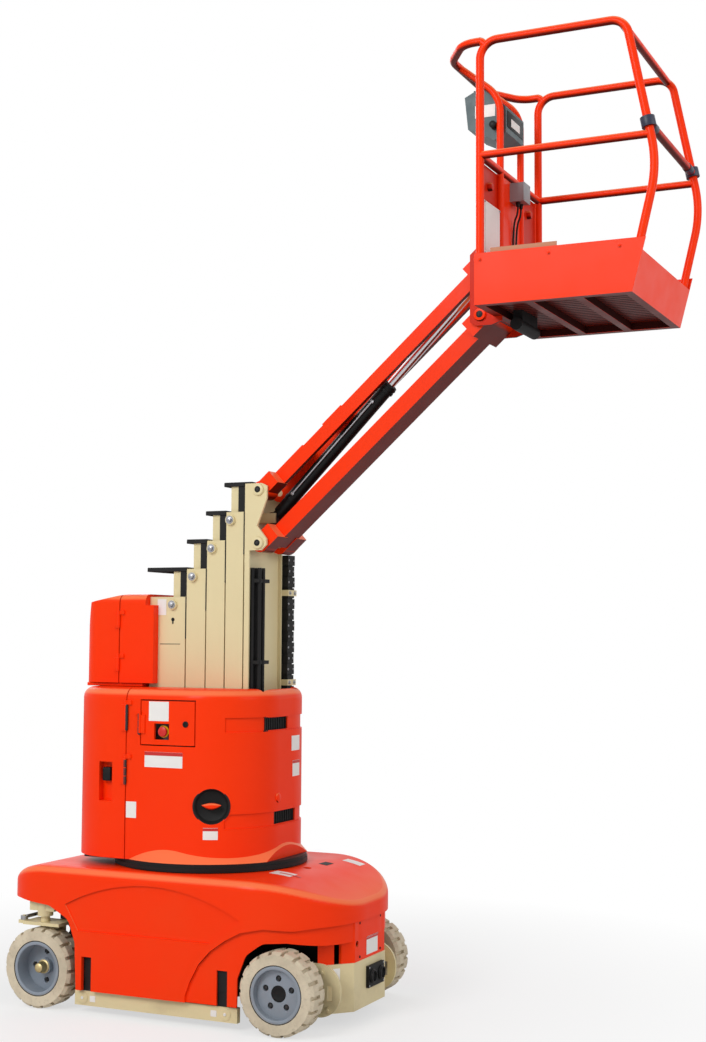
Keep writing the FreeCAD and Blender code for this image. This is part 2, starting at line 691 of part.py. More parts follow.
def chassis_frame():
    pieces = []
    reach = d.well_radius - 85
    for word, side in SIDES:
        across = pair(d.rail_side - d.plate, d.rail_side, side)
        blank = box((-d.rail_rear, -reach), across, (d.rail_low, d.rail_high))
        start = (-d.tie_down_back, across[0] - 1, d.tie_down_height)
        rear = cut(blank, [cylinder("Y", start, d.plate + 2, d.tie_down_radius)])
        front = box((reach, d.rail_front), across, (d.pan_low, d.rail_high))
        pieces += [rear, front]
        for end in (-1, 1):
            middle = d.bar_hanger * end
            inner = d.bar_side - d.bar_thick / 2 - d.seat_gap
            far = middle + (d.rail_side - 178) * end
            near = middle - d.bar_hanger_width / 2 * end
            shelf_x = (near, far) if end > 0 else (far, near)
            guide_x = (middle - d.bar_hanger_width / 2, middle + d.bar_hanger_width / 2)
            shelf_z = (d.bar_hanger_top + 40, d.bar_hanger_top + 60)
            pieces.append(box(shelf_x, pair(d.rail_side - d.plate, inner, side), shelf_z))
            face_y = pair(inner - d.plate, inner, side)
            pieces.append(box(guide_x, face_y, (d.bar_high + 20, d.bar_hanger_top + 60)))
    cross = (-d.bracket_side, d.bracket_side)
    pieces.append(box((d.bracket_rear - d.plate, d.bracket_rear), cross, (d.pan_low, d.rail_high)))
    clear = cylinder("Z", (0, 0, d.pan_low - 5), d.flange_top, d.well_radius + d.seat_gap)
    node("chassis_frame", cut(fuse(pieces), [clear]))


def drive_end_frame():
    inner = d.bracket_side - d.plate
    back = d.bumper_front - d.plate
    across = d.bumper_half - 5
    outer = d.bracket_side - 2
    plate_outline = [
        (d.bumper_back, -outer),
        (d.bumper_front, -d.bumper_half),
        (d.bumper_front, d.bumper_half),
        (d.bumper_back, outer),
        (d.bumper_back, outer - d.plate * 1.4),
        (back, across),
        (back, -across),
        (d.bumper_back, d.plate * 1.4 - outer),
    ]
    pieces = [prism("XY", plate_outline, (d.bumper_low, d.bumper_high))]
    outline = [
        (d.bracket_rear, d.bracket_low),
        (d.bracket_front, d.bracket_low),
        (d.bracket_front, d.bracket_high),
        (d.bracket_rear, d.bracket_high),
    ]
    slot = [
        (d.slot_front - d.slot_width, d.slot_low),
        (d.slot_front, d.slot_low),
        (d.slot_front, d.slot_high),
        (d.slot_front - d.slot_width, d.slot_high),
    ]
    for word, side in SIDES:
        span = pair(inner, d.bracket_side, side)
        rounds = [((1, 2), d.bracket_round)]
        pieces.append(prism("XZ", outline, span, holes=[slot], rounds=rounds))
    node("drive_end_frame", fuse(pieces))


def drive_motors():
    pieces = []
    disc = wheel_y + d.drive_disc_offset
    for word, side in SIDES:
        barrel = pair(d.bracket_side, disc - 8, side)
        hub = pair(disc - 8, disc + d.rim_disc - 4, side)
        for (low, high), radius in ((barrel, d.motor_radius), (hub, d.hub_radius)):
            pieces.append(cylinder("Y", (wheel_x, low, d.wheel_radius), high - low, radius))
    node("drive_motors", fuse(pieces))


def charger_socket():
    low = d.bumper_low + 75
    span = (d.bumper_front, d.bumper_front + 14)
    node("charger_socket", box(span, (-40, 120), (low, low + 90)))


def steering():
    low = d.rail_high
    top = low + d.beam_height
    middle = -wheel_x
    half = d.beam_length / 2
    beam = box((middle - half, middle + half), (-d.beam_half, d.beam_half), (low, top))
    boss_low = low - d.boss_drop
    bosses = [beam]
    bores = []
    for word, side in SIDES:
        centre = (middle, wheel_y * side, boss_low)
        bosses.append(cylinder("Z", centre, top - boss_low, d.boss_radius))
        hole = d.kingpin_radius + d.running_gap
        bores.append(cylinder("Z", (middle, wheel_y * side, boss_low - 1), top - boss_low + 2, hole))
    node("steering_axle", cut(fuse(bosses), bores))

    plate_low = d.wheel_radius * 2 + 8
    plate_top = plate_low + d.knuckle_plate
    inner_face = wheel_y - d.tyre_width / 2 - d.clearance
    for word, side in SIDES:
        across = pair(inner_face - d.knuckle_plate, wheel_y + 35, side)
        plate = box((middle - d.knuckle_half, middle + d.knuckle_half), across, (plate_low, plate_top))
        arm_y = (wheel_y * side - 18, wheel_y * side + 18)
        arm = box((middle - d.steer_arm - 18, middle), arm_y, (plate_low, plate_top))
        cheek_y = pair(inner_face - d.knuckle_plate, inner_face, side)
        cheek = box((middle - 55, middle + 55), cheek_y, (d.wheel_radius - 60, plate_top))
        kingpin_height = top - 5 - plate_top
        kingpin = cylinder("Z", (middle, wheel_y * side, plate_top), kingpin_height, d.kingpin_radius)
        stub_y = pair(inner_face, wheel_y - 2 - d.seat_gap, side)
        stub = cylinder("Y", (middle, stub_y[0], d.wheel_radius), stub_y[1] - stub_y[0], d.axle_radius)
        pin_x = middle - d.steer_arm
        tie_pin = cylinder("Z", (pin_x, wheel_y * side, plate_top), 20, d.tie_pin_radius)
        node("knuckle_" + word, fuse([plate, arm, cheek, kingpin, stub, tie_pin]))

    level = plate_top + 2 + d.tie_rod_radius
    pin_x = middle - d.steer_arm
    rod = cylinder("Y", (pin_x, -wheel_y, level), wheel_y * 2, d.tie_rod_radius)
    eyes = [rod]
    holes = []
    eye_low = plate_top + d.seat_gap
    for word, side in SIDES:
        eyes.append(cylinder("Z", (pin_x, wheel_y * side, eye_low), 17, d.tie_eye_radius))
        gap = d.tie_pin_radius + d.running_gap * 6
        holes.append(cylinder("Z", (pin_x, wheel_y * side, eye_low - 1), 30, gap))
    node("tie_rod", cut(fuse(eyes), holes))


# Side view of the moulded cover, from the middle to the nose: the line where the lower part steps
# inwards. Columns: along the machine as shares of half the wheel base, height as shares of the top.
PARTING_LINE = (
    (0.271, 0.0), (0.271, 0.203), (0.307, 0.297), (0.378, 0.421), (0.475, 0.519), (0.596, 0.598),
    (0.714, 0.656), (0.872, 0.687), (0.969, 0.680), (1.060, 0.673), (1.181, 0.686), (1.450, 0.693),
    (1.450, 0.0),
)


def cover_point(along, up):
    return (wheel_x * along, d.cover_top * up)


def cover_plan(inset, span):
    rear = size_of(inset) - d.cover_rear
    front = d.cover_front - inset
    half = d.cover_half - inset
    outline = [(rear, -half), (front, -half), (front, half), (rear, half)]
    rounds = [((0, 3), d.cover_rear_round - inset), ((1, 2), d.cover_nose_round - inset)]
    return prism("XY", outline, span, rounds=rounds)


def cover_block(inset, drop, low, edge):
    """The cover's outer form: flat over the middle, falling in an arc to nose and rear."""
    far = d.cover_half + 50
    plan = cover_plan(inset, (low, d.cover_top + 10))
    tail_start = d.wheel_base / 2 - 27
    pieces = [box((-tail_start, d.roof_fall_start), (-far, far), (0, d.cover_top - drop))]
    for x, radius in ((d.roof_fall_start, d.roof_fall), (-tail_start, d.roof_tail)):
        start = (x, -far, d.cover_top - radius)
        pieces.append(cylinder("Y", start, far * 2, radius - drop))
    return rounded_rim(common([plan, fuse(pieces)]), edge)


def rounded_rim(piece, radius):
    """Rounds the edges between a piece's roof and its walls."""
    doc.recompute()
    shape = piece.Shape
    roof_edges = []
    wall_edges = []
    for face in shape.Faces:
        low_u, high_u, low_v, high_v = face.ParameterRange
        upward = face.normalAt((low_u + high_u) / 2, (low_v + high_v) / 2).z
        if upward > 0.5:
            roof_edges += face.Edges
        elif abs(upward) < 0.1:
            wall_edges += face.Edges
    chosen = []
    for index, edge in enumerate(shape.Edges, start=1):
        on_roof = any(edge.isSame(other) for other in roof_edges)
        on_wall = any(edge.isSame(other) for other in wall_edges)
        if on_roof and on_wall:
            chosen.append((index, size_of(radius).number, size_of(radius).number))
    fillet = doc.addObject("Part::Fillet", "RoofRound")
    fillet.Base = piece
    fillet.Edges = chosen
    return fillet


def lettering_panel(side):
    """The lens-shaped sunk panel on a side of the cover."""
    def spot(along, up):
        a, b = cover_point(along, up)
        return Vector(a.number, 0, b.number)
    rear_top = spot(-0.763, 0.741)
    front_top = spot(0.709, 0.733)
    corners = [front_top, spot(0.463, 0.567), spot(-0.649, 0.567), rear_top]
    edges = [Part.Arc(rear_top, spot(-0.051, 0.9125), front_top).toShape()]
    for first, second in zip(corners, corners[1:]):
        edges.append(Part.LineSegment(first, second).toShape())
    face = Part.Face(Part.Wire(edges))
    piece = feature(face.extrude(Vector(0, 30, 0)))
    depth = d.cover_panel
    low = d.cover_half - depth if side > 0 else -d.cover_half + depth - 30
    return put(piece, 0, low, 0)


def chassis_cover():
    outer = cover_block(0, 0, d.cover_skirt, d.cover_edge_round)
    inner = cover_block(d.cover_side, d.cover_roof, d.cover_skirt - 1, d.cover_edge_round - 18)
    far = d.cover_half + 50
    tyre_top = d.wheel_radius * 2
    rear_arch = [
        (-d.cover_rear - 50, tyre_top + 121),
        (-wheel_x - 113, tyre_top + 121),
        (-wheel_x + 57, tyre_top + 103),
        (-wheel_x + 157, tyre_top + 50),
        (-wheel_x + 193, tyre_top - 44),
        (-wheel_x + 207, 0),
        (-d.cover_rear - 50, 0),
    ]
    front_arch = [
        (wheel_x - 188, 0),
        (wheel_x - 186, tyre_top - 128),
        (wheel_x - 150, tyre_top - 32),
        (wheel_x - 80, tyre_top + 20),
        (wheel_x + 10, tyre_top + 22),
        (wheel_x + 124, tyre_top + 4),
        (d.cover_front + 50, tyre_top - 2),
        (d.cover_front + 50, 0),
    ]
    rear_tool = prism("XZ", rear_arch, (-far, far), rounds=[((2, 3, 4), 60)])
    front_tool = prism("XZ", front_arch, (-far, far), rounds=[((2, 3), 60)])
    parting = [cover_point(along, up) for along, up in PARTING_LINE]
    core = cover_plan(d.cover_step, (-10, d.cover_top + 20))
    step = cut(prism("XZ", parting, (-far, far)), [core])
    hole = cylinder("Z", (0, 0, d.cover_top - 80), 100, d.cover_hole)
    tools = [inner, rear_tool, front_tool, step, hole, lettering_panel(1), lettering_panel(-1)]
    for end in (-1, 1):
        middle = d.bar_hanger * end + (8 if end > 0 else -10)
        slot_top = d.bar_high + 149
        tools.append(box((middle - 25, middle + 25), (-far, far), (d.cover_skirt - 2, slot_top)))
    key_x = wheel_x - 104
    for half in (-7, 7):
        tools.append(cylinder("Z", (key_x, half, d.cover_top - 80), 100, 16))
    tools.append(box((key_x - 16, key_x + 16), (-7, 7), (d.cover_top - 80, d.cover_top + 20)))
    shell = cut(outer, tools)
    inner_side = d.bracket_side - 15
    panel = [
        (d.bumper_back, -inner_side),
        (d.bumper_front, 8 - d.bumper_half),
        (d.bumper_front, d.bumper_half - 8),
        (d.bumper_back, inner_side),
        (d.bumper_back, inner_side - 10),
        (d.bumper_front - 8, d.bumper_half - 12),
        (d.bumper_front - 8, 12 - d.bumper_half),
        (d.bumper_back, 10 - inner_side),
    ]
    low = d.bumper_high + d.seat_gap
    end_panel = prism("XY", panel, (low, d.cover_top * 0.73))
    pull_hole = cylinder("X", (d.bumper_front - 30, -131, low + 74), 60, 13)
    slots = []
    for word, side in SIDES:
        slot_y = pair(d.bumper_half + 38, d.bumper_half + 62, side)
        slots.append(box((d.bumper_back, d.bumper_front), slot_y, (low - 5, low + 80)))
    node("chassis_cover", fuse([shell, cut(end_panel, [pull_hole] + slots)]))


def pothole_bars():
    for word, side in SIDES:
        across = pair(d.bar_side - d.bar_thick / 2, d.bar_side + d.bar_thick / 2, side)
        pieces = [box((-d.bar_rear, d.bar_front), across, (d.bar_low, d.bar_high))]
        for end in (-1, 1):
            middle = d.bar_hanger * end
            span = (middle - d.bar_hanger_width / 2, middle + d.bar_hanger_width / 2)
            hanger_y = pair(d.bar_side - d.bar_thick / 2, d.bar_side - 1, side)
            pieces.append(box(span, hanger_y, (d.bar_low, d.bar_hanger_top)))
        node("pothole_bar_" + word, fuse(pieces))


def turntable():
    lower_height = d.race_level - d.flange_top - d.seat_gap
    node("slew_ring_lower", ring((0, 0, d.flange_top), lower_height, d.race_split, d.race_inner))
    race = cylinder("Z", (0, 0, d.race_level), d.table_edge - d.race_level, d.race_outer)
    bore = cylinder("Z", (0, 0, d.race_level - 1), d.table_edge - d.race_level + 1, d.race_inner)
    disc = cylinder("Z", (0, 0, d.table_edge), d.table_top - d.table_edge, d.race_outer - 4)
    tray = box((-d.table_rear, 0), (-d.table_half, d.table_half), (d.table_edge, d.table_top))
    open_half = d.mast_half + d.clearance
    open_span = (d.table_edge - 1, d.table_top + 1)
    open_front = d.front_fifth + d.clearance * 2
    moving = box((d.front_first, open_front), (-open_half, open_half), open_span)
    fixed = box((-d.mast_rear, d.front_first), (-d.mast_half, d.mast_half), open_span)
    node("turntable_base", cut(fuse([cut(race, [bore]), disc, tray]), [moving, fixed]))


REAR_HINGES = (
    (d.hood_top - 416, d.hood_top - 305),
    (d.hood_top - 186, d.hood_top - 71),
)
CONTROL_HINGE = (d.control_low + 53, d.control_low + 133)
box_height = d.box_high - d.box_low
BOX_HINGES = (
    (d.box_low + box_height * 0.13, d.box_low + box_height * 0.28),
    (d.box_low + box_height * 0.62, d.box_low + box_height * 0.77),
)


def hinge_half(axis, strap, low, high, inward):
    """A hinge barrel on its axis with a strap along X that reaches inward to the panel."""
    x, y = axis
    barrel = cylinder("Z", (x, y, low), size_of(high) - low, d.hinge_radius)
    along = (x, x + strap) if strap > 0 else (x + strap, x)
    skin = y + (d.hinge_stand + 1) * inward
    across = (y, skin) if inward > 0 else (skin, y)
    return [barrel, box(along, across, (low, high))]


# Sunk bands across the front of the hood: lower edge, sides of the opening
FRONT_BANDS = (
    (d.hood_top - 183, (-170, 20)),
    (d.hood_top - 593, (-100, 100)),
)


def hood_parts():
    wall = d.hood_wall
    outer_values = (-d.hood_rear, d.hood_front, d.hood_half, d.table_top, d.hood_top,
                    d.hood_rear_round, d.hood_front_round, d.hood_edge_round)
    depth = d.band_depth
    band_core_values = (depth - d.hood_rear, d.hood_front - depth, d.hood_half - depth,
                        d.table_top - 5, d.hood_top - depth, d.hood_rear_round - depth,
                        d.hood_front_round - depth, d.hood_edge_round - depth)
    inner_values = (wall - d.hood_rear, d.hood_front - wall, d.hood_half - wall, d.table_top - 1,
                    d.hood_top - wall, d.hood_rear_round - wall, d.hood_front_round - wall,
                    d.hood_edge_round - wall)
    block = housing(*outer_values)
    inner = housing(*inner_values)
    skirt = doc.addObject("Part::Cone", "Skirt")
    bind(skirt, "Radius1", d.race_outer - 2)
    bind(skirt, "Radius2", d.hood_half - 30)
    bind(skirt, "Height", 84)
    put(skirt, 0, 0, d.table_top)
    outer = fuse([block, skirt])
    far = d.hood_half + 60
    core = housing(*band_core_values)
    bands = []
    for low, reach in FRONT_BANDS:
        span = (low, low + d.band_height)
        bands.append(cut(box((d.hood_front - 130, d.hood_front + 9), (-far, far), span), [core]))
        opening = (low + 5, low + d.band_height - 3)
        bands.append(box((d.hood_front - 40, d.hood_front + 9), reach, opening))
    half = d.mast_half + d.clearance * 2
    hole_front = d.front_fifth + 82
    mast_hole = box((-d.hood_rear - 9, hole_front), (-half, half), (d.hood_top - 60, d.hood_top + 5))
    shell = cut(outer, [inner] + bands)
    gap = d.door_gap / 2
    tall = (d.table_top - 5, d.hood_top + 5)
    front_space = box((gap - d.door_seam, d.hood_front + 9), (-far, far), tall)
    inward = d.hood_half - 185
    control_hole = box((-d.control_rear, d.control_front), (-far, -inward),
                       (d.control_low, d.control_high))
    angle = d.recess_angle
    centre_x = d.hood_front - d.hood_front_round
    centre_y = d.hood_half - d.hood_front_round
    out_x = cosine(angle)
    out_y = sine(angle)
    turn = FreeCAD.Rotation(Vector(0, 0, 1), Vector(out_x.number, -out_y.number, 0))

    def recess_round(radius, start, length):
        piece = doc.addObject("Part::Cylinder", "Recess")
        bind(piece, "Radius", radius)
        bind(piece, "Height", length)
        piece.Placement = FreeCAD.Placement(Vector(), turn)
        x = centre_x + out_x * (d.hood_front_round + start)
        y = -centre_y - out_y * (d.hood_front_round + start)
        return put(piece, x, y, d.recess_height)

    cup_hole = recess_round(d.recess_radius, -40, 80)
    chain_hole = box((d.chain_rear - 14, d.chain_front + 16), (0, d.mast_half + d.chain_wide + 20),
                     (d.hood_top - 60, d.hood_top + 5))
    front_shell = cut(common([shell, front_space]), [mast_hole, chain_hole, control_hole, cup_hole])
    cup_outer = recess_round(d.recess_radius, -d.recess_depth, d.recess_depth + 5)
    cup_inner = recess_round(d.recess_radius - 6, 6 - d.recess_depth, d.recess_depth + 5)
    cup = cut(common([cup_outer, outer]), [cup_inner])
    axis_y = -d.hood_half - d.hinge_stand
    knuckles = []
    for low, high in REAR_HINGES:
        for word, side in SIDES:
            knuckles += hinge_half((-d.door_seam, axis_y * -side), 28, high, high + 18, -side)
    knuckles += hinge_half((-d.control_rear, axis_y), -22, CONTROL_HINGE[1], CONTROL_HINGE[1] + 16, 1)
    node("hood", fuse([front_shell, cup] + knuckles))

    box_depth = d.control_depth
    block = box((-d.control_rear - 10, d.control_front + 10), (-far, box_depth - d.hood_half),
                (d.control_low - 8, d.control_high - 2))
    hollow = box((-d.control_rear - 4, d.control_front + 4), (-far, box_depth - d.hood_half - 8),
                 (d.control_low - 3, d.control_high - 7))
    estop_x = (d.window_front - d.window_rear) / 2
    estop_z = (d.window_low + d.window_high) / 2
    base_y = box_depth - d.hood_half - 9
    estop = cylinder("Y", (estop_x, base_y - 60, estop_z), 61, 20)
    tray = cut(common([block, inner]), [hollow])
    node("control_box", fuse([tray, estop]))

    gap_full = d.door_gap
    leaf_space = box((gap_full - d.control_rear, d.control_front - gap_full), (-far, -inward),
                     (d.control_low + gap_full, d.control_high - gap_full))
    window = box((-d.window_rear, d.window_front), (-far, -inward), (d.window_low, d.window_high))
    leaf = cut(common([shell, leaf_space]), [window])
    low, high = CONTROL_HINGE
    hinge = hinge_half((-d.control_rear, axis_y), 26, low, high - d.seat_gap, 1)
    node("control_door", fuse([leaf] + hinge))

    rear_space = box((-d.hood_rear - 9, -d.door_seam - gap), (-far, -gap), tall)
    grip = box((-d.handle_rear, -d.handle_front), (-far, -inward), (d.handle_low, d.handle_high))
    beside_mast = box((-d.mast_rear - d.clearance, 0), (-half, half), (d.hood_top - 60, d.hood_top + 5))
    leaf = cut(common([shell, rear_space]), [grip, beside_mast])
    grip_block = box((-d.handle_rear - 6, 6 - d.handle_front), (-far, 45 - d.hood_half),
                     (d.handle_low - 6, d.handle_high + 6))
    grip_hollow = box((-d.handle_rear, -d.handle_front), (-far, 39 - d.hood_half),
                      (d.handle_low, d.handle_high))
    grip_cup = cut(common([grip_block, outer]), [grip_hollow])
    pieces = [leaf, grip_cup]
    for low, high in REAR_HINGES:
        pieces += hinge_half((-d.door_seam, axis_y), -28, low, high - d.seat_gap, 1)
    door = node("rear_door_near", fuse(pieces))
    node("rear_door_far", mirrored_y(door))


def inner_masses():
    across = (-d.inner_half, d.inner_half)
    along = (-d.inner_rear, -d.inner_front)
    node("counterweight", box(along, across, (d.table_top, d.weight_top)))
    node("battery_block", box(along, across, (d.weight_top, d.battery_top)))


def box_block(inset, low):
    """A box rounded in plan, in side view and across; its rear leans forward above a bend."""
    rear = size_of(inset) - d.box_rear
    lean = d.box_rear - 37
    half = d.box_half - inset
    top = d.box_high - inset
    high = top + 20
    front = -d.mast_rear - inset
    plan_outline = [(rear, -half), (front, -half), (front, half), (rear, half)]
    plan = prism("XY", plan_outline, (low, high), rounds=[((0, 3), d.box_round - inset)])
    side_outline = [
        (rear, low), (front, low), (front, top), (-d.box_rear + 208, top),
        (size_of(inset) - lean, top - 36), (rear, d.box_low + box_height * 0.42),
    ]
    side = prism("XZ", side_outline, (-half - 20, half + 20), rounds=[((3,), 260), ((5,), 300)])
    cross_outline = [(-half, low), (half, low), (half, top), (-half, top)]
    edge = d.box_edge_round - inset
    cross = prism("YZ", cross_outline, (rear - 20, front + 20), rounds=[((2, 3), edge)])
    return common([plan, side, cross])


def upper_box():
    wall = 8
    outer = box_block(0, d.box_low)
    inner = box_block(wall, d.box_low + wall)
    slot = box((-d.mast_rear, 0), (-d.mast_half, d.mast_half), (d.box_low - 5, d.box_high + 5))
    cheek_x = (-d.mast_rear - 20, -d.mast_rear + 44)
    cheek_z = (d.box_low, d.box_high - 50)
    pieces = [outer]
    for word, side in SIDES:
        cheek = pair(d.mast_half + d.seat_gap, d.box_half, side)
        pieces.append(box(cheek_x, cheek, cheek_z))
    shell = cut(fuse(pieces), [inner, slot])
    tall = (d.box_low - 5, d.box_high + 30)
    across = (-d.box_half - 20, d.box_half + 20)
    gap = d.door_gap / 2
    axis = (-d.box_seam, -d.box_half - d.hinge_stand)
    fixed = [common([shell, box((gap - d.box_seam, 0), across, tall)])]
    leaf = [common([shell, box((-d.box_rear - 9, -d.box_seam - gap), across, tall)])]
    for low, high in BOX_HINGES:
        leaf += hinge_half(axis, -28, low, high - d.seat_gap, 1)
        fixed += hinge_half(axis, 28, high, high + 18, 1)
    node("upper_box", fuse(fixed))
    node("upper_box_door", fuse(leaf))


FRONTS = [d.front_first, d.front_second, d.front_third, d.front_fourth, d.front_fifth]


def section_outline(index):
    """Plan of a sliding section: a channel open to the front, and a tongue behind its web."""
    before = FRONTS[index - 1]
    front = FRONTS[index]
    half = d.mast_half
    inside = half - d.mast_plate
    web = before + d.clearance
    web_front = web + d.mast_web
    back = before - d.tongue_depth
    neck = before - d.tongue_front
    side = d.tongue_half
    outline = [
        (web, -half), (front, -half), (front, -inside), (web_front, -inside),
        (web_front, inside), (front, inside), (front, half), (web, half),
        (web, d.neck_half), (neck, d.neck_half), (neck, side), (back, side),
        (back, -side), (neck, -side), (neck, -d.neck_half), (web, -d.neck_half),
    ]
    wall = d.mast_web
    thin = d.neck_half - wall
    hollow = [
        (back + wall, wall - side), (neck - wall, wall - side), (neck - wall, -thin), (web, -thin),
        (web, thin), (neck - wall, thin), (neck - wall, side - wall), (back + wall, side - wall),
    ]
    return outline, hollow


def pulley_bosses(index, top):
    pieces = []
    x = FRONTS[index] - d.pulley_back
    for word, side in SIDES:
        low, high = pair(d.mast_half, d.mast_half + d.pulley_stand, side)
        pieces.append(cylinder("Y", (x, low, top - d.pulley_drop), high - low, d.pulley_radius))
    return pieces


def slide_pads(index, low):
    """Pads at the foot of a section's tongue that run inside the section before."""
    before = FRONTS[index - 1]
    along = (before - d.tongue_depth + 8, before - d.tongue_front - 8)
    inside = d.mast_half - d.mast_plate - d.seat_gap
    pieces = []
    for word, side in SIDES:
        pieces.append(box(along, pair(d.tongue_half - 1, inside, side), (low, low + d.pad_length)))
    return pieces


def mast():
    half = d.mast_half
    inside = half - d.mast_plate
    web = d.mast_web - d.mast_rear
    front = d.front_first
    first = [
        (-d.mast_rear, -half), (front, -half), (front, -inside), (web, -inside),
        (web, inside), (front, inside), (front, half), (-d.mast_rear, half),
    ]
    low = d.mast_top - d.mast_length
    base = prism("XY", first, (low, d.mast_top))
    node("mast_section_1", fuse([base] + pulley_bosses(0, d.mast_top)))
    for index in range(1, 5):
        rise = d.mast_step * index
        top = d.mast_top + rise
        outline, hollow = section_outline(index)
        body = prism("XY", outline, (low + rise, top), holes=[hollow])
        pieces = [body] + slide_pads(index, low + rise + 10)
        before = FRONTS[index - 1]
        reach = (before - 102, before - 2)
        if index == 1:
            reach = (-d.mast_rear - 20, before - 2)
        if index < 4:
            pieces += pulley_bosses(index, top)
        else:
            pieces += jib_head(top)
            reach = (before - 102, before + 36)
        pieces.append(box(reach, (-inside, inside), (top, top + d.cap_thick)))
        node("mast_section_%d" % (index + 1), fuse(pieces))


def jib_head(top):
    """Ears, pins and cylinder lugs at the top of the last section."""
    web = FRONTS[3] + d.clearance
    web_front = web + d.mast_web
    upper = d.pivot_low + d.pivot_spacing
    middle = d.pivot_low + d.pivot_spacing / 2
    ear = [
        (web, d.ear_low),
        (d.ear_front - 26, d.ear_low),
        (d.ear_front, d.pivot_low - 8),
        (d.ear_front, d.pivot_low + 18),
        (d.ear_notch, d.pivot_low + 76),
        (d.ear_front, upper - 40),
        (d.ear_front, top - 12),
        (d.ear_front - 26, top),
        (web, top),
    ]
    inside = d.mast_half - d.plate
    pieces = []
    for word, side in SIDES:
        pieces.append(prism("XZ", ear, pair(inside, d.mast_half, side)))
        for height in (d.pivot_low, upper):
            low, high = pair(d.collar_inner + 6, d.mast_half + 4, side)
            pieces.append(cylinder("Y", (d.pivot_forward, low, height), high - low, d.arm_pin))
        lug_x = (web_front - 1, d.pivot_forward + 22)
        pieces.append(box(lug_x, pair(d.lug_inner, d.lug_outer, side), (middle - 22, middle + 22)))
    pin = cylinder("Y", (d.pivot_forward, -d.lug_outer, middle), d.lug_outer * 2, d.cylinder_pin)
    pieces.append(pin)
    outer = d.mast_half + d.chain_wide + 12
    for level in (d.chain_low + 400, d.chain_high - 188):
        height = (level, level + 27)
        side_plate = (d.mast_half - 1, d.mast_half + 5)
        pieces.append(box((d.chain_rear, d.chain_front + 6), side_plate, height))
        pieces.append(box((d.chain_front, d.chain_front + 6), (d.mast_half, outer), height))
    return pieces


HOSES = (
    # in front of the web, across, radius
    (15, -126, 11),
    (17, -95, 13),
    (15, -62, 11),
    (44, -112, 9),
    (44, -78, 9),
    (15, -30, 10),
)
CHAIN_LINKS = 20


def cable_chain():
    """Flat links joined by pins, in a run beside the last section."""
    along = (d.chain_rear, d.chain_front - d.seat_gap)
    inner = d.mast_half + 5 + d.seat_gap
    across = (inner, inner + d.chain_wide)
    pitch = (d.chain_high - d.chain_low) / CHAIN_LINKS
    core = (along[0] + 8, along[1] - 6)
    pieces = [box(core, (inner + 9, inner + d.chain_wide - 9), (d.chain_low + 4, d.chain_high - 4))]
    for index in range(CHAIN_LINKS):
        low = d.chain_low + pitch * index
        shift = 0 if index % 2 else 5
        link = (inner + shift, inner + d.chain_wide - shift)
        pieces.append(box(along, link, (low + 2, low + pitch - 2)))
    node("cable_chain", fuse(pieces))


def hose_run():
    """Hoses that ride on the last section."""
    web_front = d.front_fourth + d.clearance + d.mast_web
    pieces = []
    for x, y, radius in HOSES:
        length = d.hose_top - d.chain_low
        pieces.append(cylinder("Z", (web_front + x, y, d.chain_low), length, radius))
    for level in (d.chain_low + 100, d.chain_low + 500, d.hose_top - 65):
        clamp_x = (web_front + d.seat_gap, web_front + 49)
        pieces.append(box(clamp_x, (-132, -26), (level, level + 16)))
    node("hose_bundle", fuse(pieces))


def arm_direction():
    return cosine(d.arm_angle), sine(d.arm_angle)


def along_arm(piece, height):
    """Lays a piece drawn along +X from its pivot onto the jib's slope."""
    piece.Placement = FreeCAD.Placement(Vector(), FreeCAD.Rotation(Vector(0, 1, 0), -d.arm_angle.number))
    piece.setExpression("Placement.Rotation.Angle", "0 - " + d.arm_angle.formula)
    return put(piece, d.pivot_forward, 0, height)


def arm_ends(full_tip, deep):
    """Rounded ends with pin bores; the middle stays open for the cylinder."""
    solid = []
    bores = []
    for end in (0, 1):
        at = d.arm_length * end
        inward = d.collar_length * (1 - 2 * end)
        low, high = (at, at + inward) if end == 0 else (at + inward, at)
        for word, side in SIDES:
            inner = size_of(0) if full_tip and end == 1 else d.collar_inner
            across = pair(inner, d.collar_half, side)
            solid.append(box((low, high), across, (-deep, deep)))
            solid.append(cylinder("Y", (at, across[0], 0), across[1] - across[0], d.collar_radius))
        gap = d.running_gap if end == 0 or full_tip else d.running_gap * 10
        bore_start = -d.collar_half - 1
        bores.append(cylinder("Y", (at, bore_start, 0), d.collar_half * 2 + 2, d.arm_pin + gap))
    return solid, bores


def lower_arm():
    ends, bores = arm_ends(True, d.arm_deep + 4)
    outer = box((20, d.arm_length - 20), (-d.arm_half, d.arm_half), (-d.arm_deep, d.arm_deep))
    inside = d.arm_half - d.arm_wall
    trough = box((-60, d.arm_length - d.collar_length), (-inside, inside),
                 (d.arm_wall - d.arm_deep, d.arm_deep + 9))
    channel = cut(outer, [trough])
    piece = cut(fuse([channel] + ends), bores)
    along_arm(piece, d.pivot_low)
    node("jib_lower_arm", piece)


def upper_arm():
    ends, bores = arm_ends(False, d.upper_deep + 4)
    pieces = list(ends)
    for word, side in SIDES:
        across = pair(d.upper_inner, d.arm_half, side)
        pieces.append(box((20, d.arm_length - 20), across, (-d.upper_deep, d.upper_deep)))
    for low, high in ((60, 260), (390, 510)):
        pieces.append(box((low, high), (-d.arm_half, d.arm_half), (d.upper_deep, d.upper_deep + 6)))
    piece = cut(fuse(pieces), bores)
    along_arm(piece, d.pivot_low + d.pivot_spacing)
    node("jib_upper_arm", piece)


